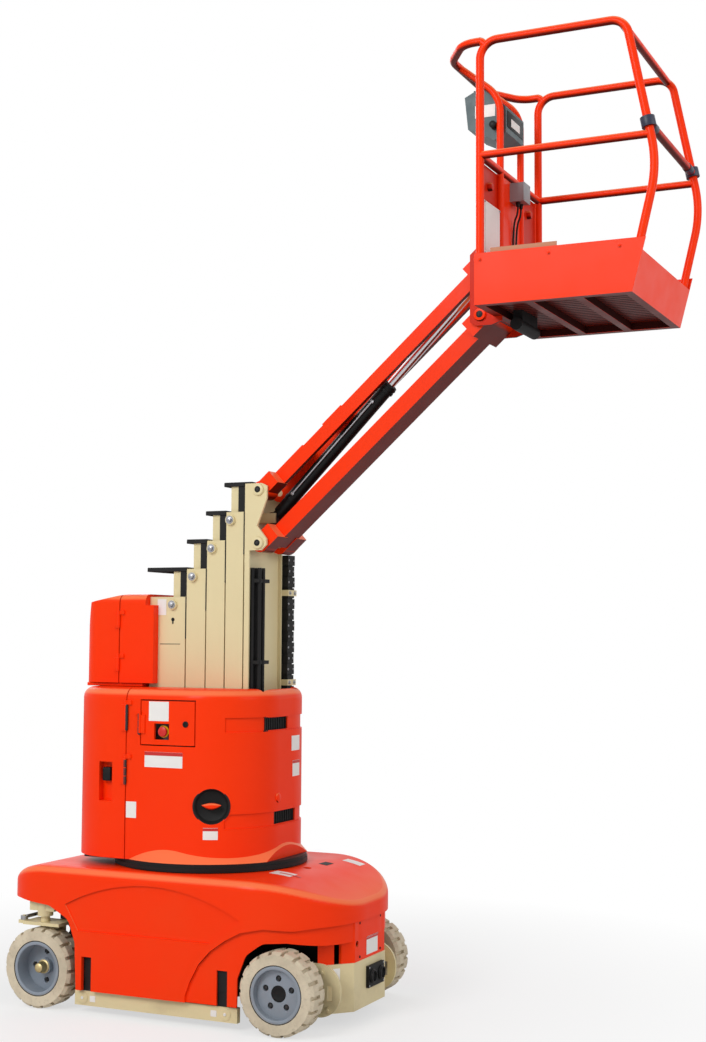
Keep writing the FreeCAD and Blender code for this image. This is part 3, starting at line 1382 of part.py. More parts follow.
def jib_cylinder():
    """Barrel on lugs between the jib pivots, rod towards the upper arm's far end."""
    base_height = d.pivot_low + d.pivot_spacing / 2
    rise = d.pivot_spacing.number / 2 + d.arm_length.number * math.sin(math.radians(d.arm_angle.number))
    run = d.arm_length.number * math.cos(math.radians(d.arm_angle.number))
    slope = math.degrees(math.atan2(rise, run))
    reach = math.hypot(rise, run)

    def laid(piece):
        turn = FreeCAD.Rotation(Vector(0, 1, 0), -slope)
        piece.Placement = FreeCAD.Placement(Vector(), turn)
        return put(piece, d.pivot_forward, 0, base_height)

    eye_half = d.lug_inner - 1
    eye = cylinder("Y", (0, -eye_half, 0), eye_half * 2, 27)
    neck = cylinder("X", (12, 0, 0), 40, 24)
    tube = cylinder("X", (36, 0, 0), d.barrel_length - 36, d.barrel_radius)
    gland = cylinder("X", (d.barrel_length - 34, 0, 0), 34, d.barrel_radius + 3)
    pin_hole = cylinder("Y", (0, -30, 0), 60, d.cylinder_pin + d.running_gap)
    rod_hole = cylinder("X", (60, 0, 0), d.barrel_length, d.rod_radius + d.rod_gap)
    node("jib_cylinder_barrel", laid(cut(fuse([eye, neck, tube, gland]), [pin_hole, rod_hole])))
    rod_start = d.barrel_length.number - 500
    rod = cylinder("X", (rod_start, 0, 0), reach - rod_start, d.rod_radius)
    head = cylinder("Y", (reach, -eye_half, 0), eye_half * 2, 28)
    head_hole = cylinder("Y", (reach, -30, 0), 60, d.arm_pin)
    node("jib_cylinder_rod", laid(cut(fuse([rod, head]), [head_hole])))


def tip_point():
    run, rise = arm_direction()
    x = d.pivot_forward + d.arm_length * run
    z = d.pivot_low + d.arm_length * rise
    return x, z


def platform_carrier():
    x, z = tip_point()
    upper = z + d.pivot_spacing
    rear = x - 46
    ear = [
        (rear, z - 30),
        (x - 18, z - 46),
        (x + 50, z - 46),
        (x + 94, z - 32),
        (x + 94, d.tray_low - d.seat_gap),
        (d.tray_rear - 4, d.tray_low - d.seat_gap),
        (d.tray_rear - 4, upper + 46),
        (x - 18, upper + 46),
        (rear, upper + 20),
    ]
    pieces = []
    inside = d.mast_half - d.plate
    for word, side in SIDES:
        pieces.append(prism("XZ", ear, pair(inside, d.mast_half, side)))
        for height in (z, upper):
            low, high = pair(d.collar_inner + 6, d.mast_half + 4, side)
            pieces.append(cylinder("Y", (x, low, height), high - low, d.arm_pin))
    back = (d.tray_rear - 4 - d.plate, d.tray_rear - 4)
    pieces.append(box(back, (-d.mast_half, d.mast_half), (d.tray_low, upper + 46)))
    rod_way = box((back[0] - 1, back[1] + 1), (-d.collar_inner, d.collar_inner), (upper - 56, upper + 50))
    node("platform_carrier", cut(fuse(pieces), [rod_way]))


def platform_tray():
    low = d.tray_low
    floor_top = low + d.tray_frame
    half = d.tray_half
    width = d.tray_channel
    inner_half = half - width
    frame = box((d.tray_rear, d.tray_front), (-half, half), (low, floor_top - d.floor_sheet))
    bay = (d.tray_front - d.tray_rear - width * 4) / 3
    tools = []
    for index in range(3):
        start = d.tray_rear + width + (bay + width) * index
        tools.append(box((start, start + bay), (-inner_half, inner_half), (low - 1, floor_top)))
    members = cut(frame, tools)
    sheet_plate = box((d.tray_rear, d.tray_front), (-half, half), (floor_top - d.floor_sheet, floor_top))
    deck_x = (d.tray_rear + 190, d.tray_front - 30)
    deck = box(deck_x, (60 - half, half - 60), (floor_top - 1, floor_top + 2))
    pieces = [members, sheet_plate, deck]
    lean = d.kick_lean / d.kick_end_height
    side_lean = lean * d.kick_side_height
    side_plate = [
        (d.tray_rear, low),
        (d.tray_front, low),
        (d.tray_front + side_lean, low + d.kick_side_height),
        (d.tray_rear, low + d.kick_side_height),
    ]
    for word, side in SIDES:
        pieces.append(prism("XZ", side_plate, pair(half - d.kick_sheet, half, side)))
    end_plate = [
        (d.tray_front - d.kick_sheet, low),
        (d.tray_front, low),
        (d.tray_front + d.kick_lean, low + d.kick_end_height),
        (d.tray_front + d.kick_lean - d.kick_sheet, low + d.kick_end_height),
    ]
    pieces.append(prism("XZ", end_plate, (-half, half)))
    node("platform_tray", fuse(pieces))


def tube(points, radius, bends):
    """A round bar along straight runs joined by tangent arcs; bends gives the radius at each corner."""
    spots = [Vector(*(size_of(value).number for value in point)) for point in points]
    edges = []
    start = spots[0]
    for corner, before, after, bend in zip(spots[1:-1], spots, spots[2:], bends):
        back = (before - corner).normalize()
        ahead = (after - corner).normalize()
        turn = math.pi - back.getAngle(ahead)
        trim = bend * math.tan(turn / 2)
        first = corner + back * trim
        last = corner + ahead * trim
        middle_way = (back + ahead).normalize()
        depth = bend / math.cos(turn / 2) - bend
        middle = corner + middle_way * depth
        edges.append(Part.LineSegment(start, first).toShape())
        edges.append(Part.Arc(first, middle, last).toShape())
        start = last
    edges.append(Part.LineSegment(start, spots[-1]).toShape())
    path = Part.Wire(edges)
    heading = (spots[1] - spots[0]).normalize()
    section = Part.Wire(Part.Circle(spots[0], heading, radius).toShape())
    return path.makePipeShell([section], True, False)


post_y = d.tray_half - d.kick_sheet - d.rail_tube - d.seat_gap
hoop_slope = (d.hoop_out - d.hoop_head) / (d.rail_top - d.hoop_level)


def guard_rails():
    radius = d.rail_tube.number
    foot = d.tray_low + d.kick_side_height - 60
    rear_x = d.tray_rear + d.rail_tube
    bend = d.rail_bend.number
    hoop_bend = d.hoop_bend.number
    lower_x = d.tray_front + d.kick_lean - d.kick_sheet - d.rail_tube * 1.3
    for word, side in SIDES:
        y = post_y * side
        hoop = tube(
            [
                (rear_x, y, foot),
                (rear_x, y, d.rail_top),
                (d.hoop_head, y, d.rail_top),
                (d.hoop_out, y, d.hoop_level),
                (lower_x, y, foot),
            ],
            radius, [bend, bend, hoop_bend])
        mid_end = d.hoop_out - hoop_slope * (d.rail_mid - d.hoop_level)
        mid = tube([(rear_x, y, d.rail_mid), (mid_end, y, d.rail_mid)], d.cross_tube.number, [])
        node("rail_" + word, feature(hoop.fuse(mid)))
    reach_x = rear_x - d.loop_reach
    turn_x = rear_x - 75
    loop = tube(
        [
            (rear_x + 3, -post_y, d.rail_top),
            (turn_x, -post_y, d.rail_top),
            (reach_x, 165 - post_y, d.rail_top),
            (reach_x, post_y - 165, d.rail_top),
            (turn_x, post_y, d.rail_top),
            (rear_x + 3, post_y, d.rail_top),
        ],
        radius, [100, 150, 150, 100])
    inner_y = post_y - d.rail_tube - d.seat_gap
    thin = d.cross_tube.number
    pieces = [tube([(rear_x, -inner_y, d.rail_mid), (rear_x, inner_y, d.rail_mid)], thin, [])]
    for word, side in SIDES:
        y = d.post_inner * side
        head = d.rail_top - 150
        post = tube([(rear_x, y, foot), (rear_x, y, head), (reach_x, y, d.rail_top)], thin - 1, [150])
        pieces.append(post)
    panel_half = d.post_inner - d.cross_tube + 6
    floor_top = d.tray_low + d.tray_frame + d.seat_gap
    panel = Part.makeBox(6, panel_half.number * 2, (d.rail_mid - floor_top).number,
                         Vector(rear_x.number - 3, -panel_half.number, floor_top.number))
    rear = loop.multiFuse(pieces + [panel])
    node("rail_rear", feature(rear))
    corner = math.radians(90) - math.atan(hoop_slope.number)
    inset = bend / math.cos(corner / 2) - bend
    front_x = d.hoop_head.number - inset * math.sin(corner / 2)
    front_z = d.rail_top.number - inset * math.cos(corner / 2)
    front = tube([(front_x, -inner_y, front_z), (front_x, inner_y, front_z)], thin, [])
    node("rail_front", feature(front))


def entry_bar():
    """A bar between two sleeves that slide up the straight upper part of the curved posts."""
    y = post_y
    level = d.rail_mid + d.rail_tube + 9 + d.sleeve_half
    x = d.hoop_out - hoop_slope * (level - d.hoop_level)
    tilt = math.degrees(math.atan(hoop_slope.number))
    pieces = [cylinder("Y", (x, -y, level), y * 2, d.rail_tube)]
    holes = []
    turn = FreeCAD.Rotation(Vector(0, 1, 0), -tilt)
    axis = turn.multVec(Vector(0, 0, 1))
    for word, side in SIDES:
        for radius, half, into in ((d.sleeve_radius, d.sleeve_half, pieces),
                                   (d.rail_tube + d.seat_gap, d.sleeve_half + 5, holes)):
            piece = doc.addObject("Part::Cylinder", "Sleeve")
            bind(piece, "Radius", radius)
            bind(piece, "Height", half * 2)
            piece.Placement = FreeCAD.Placement(Vector(), turn)
            put(piece, x - half * axis.x, y * side, level - half * axis.z)
            into.append(piece)
    node("entry_bar", cut(fuse(pieces), holes))


def platform_fittings():
    rear_x = d.tray_rear + d.rail_tube
    half = d.post_inner - d.cross_tube + 1 - d.seat_gap
    console = [
        (rear_x - 165, d.rail_top - 130),
        (rear_x - 150, d.rail_top - 270),
        (rear_x - 30, d.rail_top - 330),
        (rear_x + 20, d.rail_top - 300),
        (rear_x + 20, d.rail_top - 190),
        (rear_x - 90, d.rail_top - 95),
    ]
    node("control_console", prism("XZ", console, (-half, half)))
    panel_face = rear_x + 3 + d.seat_gap
    node("junction_box", box((panel_face, panel_face + 60), (-20, 60), (d.rail_mid - 102, d.rail_mid - 22)))
    floor_top = d.tray_low + d.tray_frame
    switch = [
        (rear_x + 20, floor_top),
        (rear_x + 150, floor_top),
        (rear_x + 150, floor_top + 60),
        (rear_x + 60, floor_top + 130),
        (rear_x + 20, floor_top + 130),
    ]
    node("foot_switch", prism("XZ", switch, (-60, 60)))
    wall = (rear_x - 12, rear_x + 12)
    holder_y = (d.rail_tube + d.seat_gap - post_y, -170)
    holder_low = d.tray_low + d.kick_side_height + 4
    node("document_holder", box(wall, holder_y, (holder_low, holder_low + 225)))
    x = d.tray_rear + 82
    block_top = floor_top - d.floor_sheet - d.seat_gap
    block = box((x - 20, x + 20), (-100, 100), (d.tray_low - 30, block_top))
    roller = cylinder("Y", (x, -120, d.tray_low - 30), 240, 26)
    node("underside_sensor", fuse([block, roller]))


wheels()
mast_well()
chassis_frame()
drive_end_frame()
drive_motors()
charger_socket()
steering()
chassis_cover()
pothole_bars()
turntable()
hood_parts()
inner_masses()
upper_box()
mast()
cable_chain()
hose_run()
lower_arm()
upper_arm()
jib_cylinder()
platform_carrier()
platform_tray()
guard_rails()
entry_bar()
platform_fittings()

doc.recompute()
for piece in doc.Objects:
    if "Invalid" in piece.State or "Error" in piece.State:
        raise RuntimeError("failed: %s %s" % (piece.Label, piece.State))
for label, piece in nodes.items():
    if piece.Shape.isNull() or not piece.Shape.isValid():
        raise RuntimeError("bad shape: " + label)

os.makedirs("parts", exist_ok=True)
for label, piece in nodes.items():
    piece.Shape.exportStep("parts/%s.step" % label)
print(len(nodes), "nodes")
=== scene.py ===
import json
import math

import bpy
from mathutils import Matrix, Vector


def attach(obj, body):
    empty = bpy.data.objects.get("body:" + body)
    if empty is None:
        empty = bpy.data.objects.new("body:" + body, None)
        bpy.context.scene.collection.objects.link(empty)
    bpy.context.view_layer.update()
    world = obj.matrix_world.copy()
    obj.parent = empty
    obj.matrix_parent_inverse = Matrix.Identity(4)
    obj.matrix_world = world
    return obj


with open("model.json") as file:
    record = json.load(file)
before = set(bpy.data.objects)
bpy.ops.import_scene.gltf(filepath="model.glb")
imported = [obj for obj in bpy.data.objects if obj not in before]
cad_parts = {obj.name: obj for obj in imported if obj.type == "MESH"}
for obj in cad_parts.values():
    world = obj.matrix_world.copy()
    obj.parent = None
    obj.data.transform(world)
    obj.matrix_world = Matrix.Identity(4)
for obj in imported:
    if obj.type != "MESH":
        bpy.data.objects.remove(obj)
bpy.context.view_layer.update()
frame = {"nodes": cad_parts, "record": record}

# Vertical mast lift: the finishes of every part of the frame, and the pieces that dress it.
# Metres; +X towards the drive wheels and the jib, +Y to the far side, +Z up.


# Camera, at the photograph's place

CAMERA_PLACE = (3.6269, -6.3172, 1.6226)
CAMERA_YAW = math.radians(24.91)
CAMERA_PITCH = math.radians(4.17)
CAMERA_ROLL = math.radians(0.33)
PHOTO_HEIGHT = 1042
FOCAL_PIXELS = 1589.39


def place_camera():
    """Stands the camera where the photograph was taken, with its turn and lens."""
    data = bpy.data.cameras.new("camera")
    data.sensor_width = 36
    data.lens = FOCAL_PIXELS * data.sensor_width / PHOTO_HEIGHT
    camera = bpy.data.objects.new("camera", data)
    bpy.context.scene.collection.objects.link(camera)
    level = Vector((math.cos(CAMERA_YAW), math.sin(CAMERA_YAW), 0))
    ahead = Vector((
        -math.sin(CAMERA_YAW) * math.cos(CAMERA_PITCH),
        math.cos(CAMERA_YAW) * math.cos(CAMERA_PITCH),
        math.sin(CAMERA_PITCH),
    ))
    upright = level.cross(ahead)
    right = level * math.cos(CAMERA_ROLL) + upright * math.sin(CAMERA_ROLL)
    up = right.cross(ahead)
    turn = Matrix((right, up, -ahead)).transposed().to_4x4()
    camera.matrix_world = Matrix.Translation(CAMERA_PLACE) @ turn
    data.clip_end = 100
    bpy.context.scene.camera = camera


# Finishes

class Nodes:
    """Adds and joins the shader nodes of one finish."""

    def __init__(self, name):
        self.material = bpy.data.materials.new(name)
        self.material.use_nodes = True
        self.tree = self.material.node_tree
        self.shader = self.tree.nodes["Principled BSDF"]
        self.coordinates = self.add("ShaderNodeTexCoord")
        self.place = self.coordinates.outputs["Object"]

    def add(self, kind, **settings):
        node = self.tree.nodes.new(kind)
        for key, value in settings.items():
            setattr(node, key, value)
        return node

    def feed(self, socket, value):
        if isinstance(value, bpy.types.NodeSocket):
            self.tree.links.new(value, socket)
        else:
            socket.default_value = value

    def noise(self, scale, detail=4.0, roughness=0.55, stretch=None):
        source = self.place
        if stretch:
            mapping = self.add("ShaderNodeMapping")
            mapping.inputs["Scale"].default_value = stretch
            self.tree.links.new(self.place, mapping.inputs["Vector"])
            source = mapping.outputs["Vector"]
        node = self.add("ShaderNodeTexNoise")
        self.feed(node.inputs["Vector"], source)
        node.inputs["Scale"].default_value = scale
        node.inputs["Detail"].default_value = detail
        node.inputs["Roughness"].default_value = roughness
        return node.outputs["Fac"]

    def ramp(self, factor, low, high, dark=0.0, light=1.0):
        node = self.add("ShaderNodeMapRange")
        self.feed(node.inputs["Value"], factor)
        node.inputs["From Min"].default_value = low
        node.inputs["From Max"].default_value = high
        node.inputs["To Min"].default_value = dark
        node.inputs["To Max"].default_value = light
        return node.outputs["Result"]

    def mix(self, factor, first, second):
        node = self.add("ShaderNodeMix", data_type="RGBA")
        self.feed(node.inputs["Factor"], factor)
        self.feed(node.inputs[6], first)
        self.feed(node.inputs[7], second)
        return node.outputs[2]

    def math(self, operation, first, second=0.5):
        node = self.add("ShaderNodeMath", operation=operation)
        self.feed(node.inputs[0], first)
        self.feed(node.inputs[1], second)
        return node.outputs[0]

    def axis(self, index):
        node = self.add("ShaderNodeSeparateXYZ")
        self.feed(node.inputs[0], self.place)
        return node.outputs[index]

    def bump(self, height, strength, distance=0.001, under=None):
        node = self.add("ShaderNodeBump")
        self.feed(node.inputs["Height"], height)
        node.inputs["Strength"].default_value = strength
        node.inputs["Distance"].default_value = distance
        if under is not None:
            self.feed(node.inputs["Normal"], under)
        return node.outputs["Normal"]

    def finish(self, colour, roughness, normal=None, **plain):
        self.feed(self.shader.inputs["Base Color"], colour)
        self.feed(self.shader.inputs["Roughness"], roughness)
        if normal is not None:
            self.feed(self.shader.inputs["Normal"], normal)
        for key, value in plain.items():
            self.shader.inputs[key.replace("_", " ")].default_value = value
        return self.material


def rgb(red, green, blue):
    """Linear colour from display values of 0 to 255."""
    def linear(value):
        value /= 255
        return value / 12.92 if value <= 0.04045 else ((value + 0.055) / 1.055) ** 2.4
    return (linear(red), linear(green), linear(blue), 1.0)


# Painted highlight: the colour mixed into rounded shoulders in place of the sky's light on them.
SHOULDER_PAINTED_HIGHLIGHT = rgb(255, 150, 96)


def paint_shade_and_highlight_by_slope(n, tone, under):
    """Paints shade on the faces that look down and paints a highlight on the rounded shoulders that catch
    the sky.
    """
    facing = n.add("ShaderNodeSeparateXYZ")
    n.feed(facing.inputs[0], n.coordinates.outputs["Normal"])
    upward = facing.outputs[2]
    # Painted shade: faces that look down are mixed towards the dark colour given.
    tone = n.mix(n.ramp(upward, -0.3, -0.75, 0.0, 0.92), tone, under)
    # Painted highlight: faces that slope upwards, but not flat tops, are mixed towards the highlight colour.
    highlight_rise = n.ramp(upward, 0.30, 0.55, 0.0, 0.55)
    highlight_fall = n.ramp(upward, 0.97, 0.80, 0.0, 1.0)
    return n.mix(n.math("MULTIPLY", highlight_rise, highlight_fall), tone, SHOULDER_PAINTED_HIGHLIGHT)


def enamel(name, colour, dusty, rough=0.34, coat=0.1, dirt=0.25, specular=0.3, under=None):
    """Sprayed paint: uneven tone, a fine pebbled skin, dust low down; given a dark colour, painted shade on
    faces that look down and a painted highlight on rounded shoulders.
    """
    n = Nodes(name)
    drift = n.ramp(n.noise(1.6, 3), 0.35, 0.65)
    tone = n.mix(n.math("MULTIPLY", drift, 0.10), colour, dusty)
    specks = n.ramp(n.noise(38, 6, 0.7), 0.60, 0.74)
    smudge = n.ramp(n.noise(3.4, 5, 0.62), 0.48, 0.78)
    low = n.ramp(n.axis(2), 1.1, 0.05)
    grime = n.math("MULTIPLY", n.math("MULTIPLY", smudge, low), dirt)
    tone = n.mix(grime, tone, dusty)
    tone = n.mix(n.math("MULTIPLY", specks, 0.06), tone, dusty)
    # Painted light: the under colour is painted shade on faces that look down, and the rounded shoulders get
    # a painted highlight.
    if under is not None:
        tone = paint_shade_and_highlight_by_slope(n, tone, under)
    rough_map = n.ramp(n.noise(6, 4), 0.3, 0.7, rough - 0.05, rough + 0.08)
    peel = n.bump(n.noise(210, 2), 0.05, 0.0006)
    waves = n.bump(n.noise(2.6, 2), 0.05, 0.006, peel)
    return n.finish(tone, rough_map, waves, Coat_Weight=coat, Coat_Roughness=0.15,
                    Specular_IOR_Level=specular)


def plastic(name, colour, light, rough=0.5):
    """Moulded plastic with a fine grain."""
    n = Nodes(name)
    tone = n.mix(n.ramp(n.noise(9, 5, 0.6), 0.4, 0.75, 0.0, 0.35), colour, light)
    skin = n.bump(n.noise(260, 3), 0.16, 0.0005)
    return n.finish(tone, n.ramp(n.noise(14, 4), 0.3, 0.7, rough - 0.06, rough + 0.08), skin)


def rubber(name, colour, worn, rough=0.78):
    """Rubber with a dry bloom and scuffs."""
    n = Nodes(name)
    bloom = n.ramp(n.noise(7, 6, 0.66), 0.38, 0.72, 0.0, 0.6)
    scuffs = n.ramp(n.noise(60, 7, 0.7), 0.56, 0.72, 0.0, 0.5)
    tone = n.mix(scuffs, n.mix(bloom, colour, worn), worn)
    skin = n.bump(n.noise(120, 5, 0.7), 0.3, 0.0012)
    return n.finish(tone, rough, skin, Specular_IOR_Level=0.3)


def bare_metal(name, colour, tint, rough=0.32, stretch=(6, 6, 90)):
    """Machined or plated metal with fine lines."""
    n = Nodes(name)
    lines = n.noise(30, 4, 0.6, stretch)
    tone = n.mix(n.ramp(lines, 0.35, 0.65, 0, 0.5), colour, tint)
    rough_map = n.ramp(n.noise(12, 5), 0.3, 0.7, rough - 0.08, rough + 0.12)
    return n.finish(tone, rough_map, n.bump(lines, 0.08, 0.0004), Metallic=1.0)


# The last colour of the orange and deep red enamels is the painted shade of their faces that look down.
finishes = {
    "orange": enamel("orange enamel", rgb(252, 54, 3), rgb(228, 78, 30), 0.34, 0.05, 0.22, 0.09,
                     rgb(58, 8, 5)),
    "deep red": enamel("deep red enamel", rgb(206, 36, 4), rgb(150, 54, 28), 0.4, 0.04, 0.3, 0.09,
                       rgb(50, 8, 5)),
    # Painted shade: dark red for thin sheets inside the floor bays that stand in for their shade.
    "painted shade": enamel("painted shade red", rgb(54, 10, 6), rgb(70, 26, 16), 0.6, 0.0, 0.3, 0.1),
    "sand": enamel("sand coloured board", rgb(198, 136, 106), rgb(150, 112, 90), 0.55, 0.0, 0.4, 0.15),
    "beige": enamel("beige enamel", rgb(226, 211, 166), rgb(170, 152, 118), 0.42, 0.08, 0.6),
    "black": enamel("black enamel", rgb(14, 15, 16), rgb(40, 38, 35), 0.5, 0.05, 0.2, 0.2),
    "tyre": rubber("pale tyre rubber", rgb(216, 203, 178), rgb(158, 146, 124)),
    "rim": enamel("wheel enamel", rgb(138, 148, 160), rgb(112, 108, 100), 0.36, 0.2, 0.6, 0.5),
    "rubber": rubber("black rubber", rgb(10, 10, 11), rgb(30, 29, 28), 0.66),
    "console": plastic("console plastic", rgb(70, 88, 92), rgb(98, 116, 118), 0.5),
    "grey": plastic("grey plastic", rgb(138, 146, 150), rgb(170, 176, 178), 0.45),
    "chrome": bare_metal("hard chrome", rgb(225, 225, 228), rgb(190, 190, 196), 0.12),
    "steel": bare_metal("turned steel", rgb(176, 176, 180), rgb(124, 124, 128), 0.34),
    "brass": bare_metal("brass", rgb(206, 188, 140), rgb(160, 140, 100), 0.45),
    "white": plastic("blank label film", rgb(236, 234, 230), rgb(220, 218, 214), 0.42),
    "red label": plastic("red label film", rgb(196, 30, 26), rgb(180, 40, 34), 0.42),
    "iron": rubber("cast iron", rgb(40, 40, 43), rgb(66, 62, 58), 0.6),
    "knob red": plastic("red knob", rgb(206, 20, 14), rgb(226, 50, 36), 0.3),
    "knob yellow": plastic("yellow collar", rgb(236, 186, 20), rgb(222, 170, 20), 0.4),
    "navy": plastic("dark blue sleeve", rgb(24, 30, 54), rgb(44, 52, 78), 0.42),
}

SLOT_FINISH = {
    "orange_paint": "orange",
    "beige_paint": "beige",
    "black_paint": "black",
    "tyre_rubber": "tyre",
    "rim_grey": "rim",
    "black_rubber": "rubber",
    "console_grey": "console",
    "box_grey": "grey",
    "chrome": "chrome",
    "white_sheet": "white",
    "raw_steel": "steel",
    "iron": "iron",
}
FINISH_SLOT = {finish: slot for slot, finish in SLOT_FINISH.items()}
FINISH_SLOT.update({
    "deep red": "orange_paint",
    "sand": "beige_paint",
    "painted shade": "orange_paint",
    "brass": "raw_steel",
    "red label": "white_sheet",
    "knob red": "orange_paint",
    "knob yellow": "beige_paint",
    "navy": "black_rubber",
})


DEEP_RED_NODES = ("entry_bar", "platform_carrier")
RUBBER_NODES = ("slew_ring_lower",)


def dress_frame():
    """Gives each part of the frame the finish of its material slot."""
    for part in frame["record"]["subparts"]:
        piece = frame["nodes"][part["node"]]
        finish = SLOT_FINISH[part["material_slot"]]
        if part["node"] in DEEP_RED_NODES:
            finish = "deep red"
        if part["node"] in RUBBER_NODES:
            finish = "rubber"
        piece.data.materials.clear()
        piece.data.materials.append(finishes[finish])


# Making tools

SIDES = (("near", -1), ("far", 1))


def clear_bench():
    """Leaves edit mode with nothing picked."""
    if bpy.context.mode != "OBJECT":
        bpy.ops.object.mode_set(mode="OBJECT")
    bpy.ops.object.select_all(action="DESELECT")


def edit_all():
    """Opens the active piece for editing with all of it picked."""
    bpy.ops.object.mode_set(mode="EDIT")
    bpy.ops.mesh.select_all(action="SELECT")


def pick(piece):
    """Picks one piece alone."""
    clear_bench()
    piece.select_set(True)
    bpy.context.view_layer.objects.active = piece


def fix_place(piece):
    """Puts a piece's place, turn and size into its mesh."""
    pick(piece)
    bpy.ops.object.transform_apply(location=True, rotation=True, scale=True)


def apply_modifiers(piece):
    """Applies a piece's modifiers in their order."""
    pick(piece)
    for modifier in list(piece.modifiers):
        bpy.ops.object.modifier_apply(modifier=modifier.name)


def facing_matrix(centre, facing):
    """Place and turn of a piece drawn on local XY and looking along local Z."""
    z = Vector(facing).normalized()
    top = Vector((0, 0, 1))
    if abs(z.dot(top)) > 0.95:
        top = Vector((1, 0, 0))
    x = top.cross(z).normalized()
    y = z.cross(x)
    return Matrix.Translation(Vector(centre)) @ Matrix((x, y, z)).transposed().to_4x4()


def block(low, high, edge=0.001, segments=2):
    """A block between two corners with rounded edges."""
    clear_bench()
    low, high = Vector(low), Vector(high)
    bpy.ops.mesh.primitive_cube_add(size=1, location=(low + high) / 2)
    piece = bpy.context.object
    piece.scale = high - low
    bpy.ops.object.transform_apply(location=True, rotation=True, scale=True)
    edit_all()
    bpy.ops.mesh.bevel(offset=edge, segments=segments, affect="EDGES")
    clear_bench()
    return piece


def turned(stations, centre, facing, sides=32):
    """A turned piece: rings given by radius and height along its axis, closed at both ends."""
    clear_bench()
    radius, height = stations[0]
    bpy.ops.mesh.primitive_circle_add(vertices=sides, radius=radius, fill_type="NGON")
    piece = bpy.context.object
    edit_all()
    bpy.ops.transform.translate(value=(0, 0, height))
    for wider, higher in stations[1:]:
        bpy.ops.mesh.extrude_region_move(TRANSFORM_OT_translate={"value": (0, 0, higher - height)})
        share = wider / radius
        bpy.ops.transform.resize(value=(share, share, 1), center_override=(0, 0, higher))
        radius, height = wider, higher
    bpy.ops.mesh.select_all(action="SELECT")
    bpy.ops.mesh.normals_make_consistent(inside=False)
    clear_bench()
    piece.matrix_world = facing_matrix(centre, facing)
    return piece


def band(radius, half, wall, centre, facing, sides=40):
    """An open ring round an axis, with a wall and rounded rims."""
    clear_bench()
    bpy.ops.mesh.primitive_cylinder_add(vertices=sides, radius=radius, depth=half * 2,
                                        end_fill_type="NOTHING")
    piece = bpy.context.object
    thick = piece.modifiers.new("wall", "SOLIDIFY")
    thick.thickness = wall
    thick.offset = 1
    rims = piece.modifiers.new("rims", "BEVEL")
    rims.width = wall * 0.3
    rims.segments = 2
    apply_modifiers(piece)
    piece.matrix_world = facing_matrix(centre, facing)
    return piece


def joined(pieces):
    """Several small pieces made one."""
    clear_bench()
    for piece in pieces:
        piece.select_set(True)
    bpy.context.view_layer.objects.active = pieces[0]
    bpy.ops.object.join()
    return bpy.context.object


def copied(piece, move):
    """A copy with its own mesh, moved."""
    pick(piece)
    bpy.ops.object.duplicate(linked=False)
    copy = bpy.context.object
    copy.matrix_world = Matrix.Translation(move) @ copy.matrix_world
    fix_place(copy)
    return copy


def at_each(first, places):
    """A piece made at the first of some places, copied to the others and joined."""
    rest = [copied(first, Vector(place) - Vector(places[0])) for place in places[1:]]
    return joined([first] + rest)


def in_rows(piece, rows):
    """Repeats a piece by counts and steps, one after the other."""
    for count, step in rows:
        array = piece.modifiers.new("rows", "ARRAY")
        array.count = count
        array.use_relative_offset = False
        array.use_constant_offset = True
        array.constant_offset_displace = step
    apply_modifiers(piece)


def settle(piece, name, finish, body, smooth=35):
    """Fixes a finished piece in its place, gives it its finish and puts it on its body."""
    fix_place(piece)
    bpy.ops.object.shade_smooth_by_angle(angle=math.radians(smooth))
    piece.name = name
    piece.data.name = name
    piece.data.materials.clear()
    piece.data.materials.append(finishes[finish])
    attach(piece, body)
    return piece


def hex_bolt(centre, facing, radius, head=0.7):
    """A hexagon head on a washer."""
    washer = radius * 1.75
    base = turned([(washer, 0), (washer, radius * 0.18), (washer * 0.94, radius * 0.26)], centre, facing, 20)
    high = radius * (0.26 + head)
    cap = turned([(radius * 1.1, radius * 0.2), (radius * 1.1, high), (radius * 0.88, high * 1.12)],
                 centre, facing, 6)
    return joined([base, cap])


def screws(places, facing, radius):
    """Button-head screws with a socket."""
    first = turned([(radius, 0), (radius, radius * 0.2), (radius * 0.82, radius * 0.5),
                    (radius * 0.5, radius * 0.62), (radius * 0.45, radius * 0.3)],
                   places[0], facing, 12)
    return at_each(first, places)


def bolts(places, facing, radius, **shape):
    """Hexagon bolts of one size at some places."""
    return at_each(hex_bolt(places[0], facing, radius, **shape), places)


LABEL_START = 0.03
LABEL_REACH = 0.12
LABEL_FILM = 0.0004
BAND_STAND = 0.0012


def label(name, node, body, centre, facing, width, height, finish="white", stand=0.0006):
    """A blank film laid on the skin of a part: drawn flat, then pressed onto it."""
    clear_bench()
    bpy.ops.mesh.primitive_plane_add(size=1)
    piece = bpy.context.object
    piece.scale = (width, height, 1)
    bpy.ops.object.transform_apply(location=True, rotation=True, scale=True)
    edit_all()
    bpy.ops.mesh.subdivide(number_cuts=9)
    clear_bench()
    out = Vector(facing).normalized()
    piece.matrix_world = facing_matrix(Vector(centre) + out * LABEL_START, facing)
    press = piece.modifiers.new("press", "SHRINKWRAP")
    press.target = frame["nodes"][node]
    press.wrap_method = "PROJECT"
    press.use_project_z = True
    press.use_negative_direction = True
    press.use_positive_direction = False
    press.project_limit = LABEL_REACH
    press.offset = stand
    film = piece.modifiers.new("film", "SOLIDIFY")
    film.thickness = LABEL_FILM
    film.offset = 1
    apply_modifiers(piece)
    return settle(piece, name, finish, body, 50)


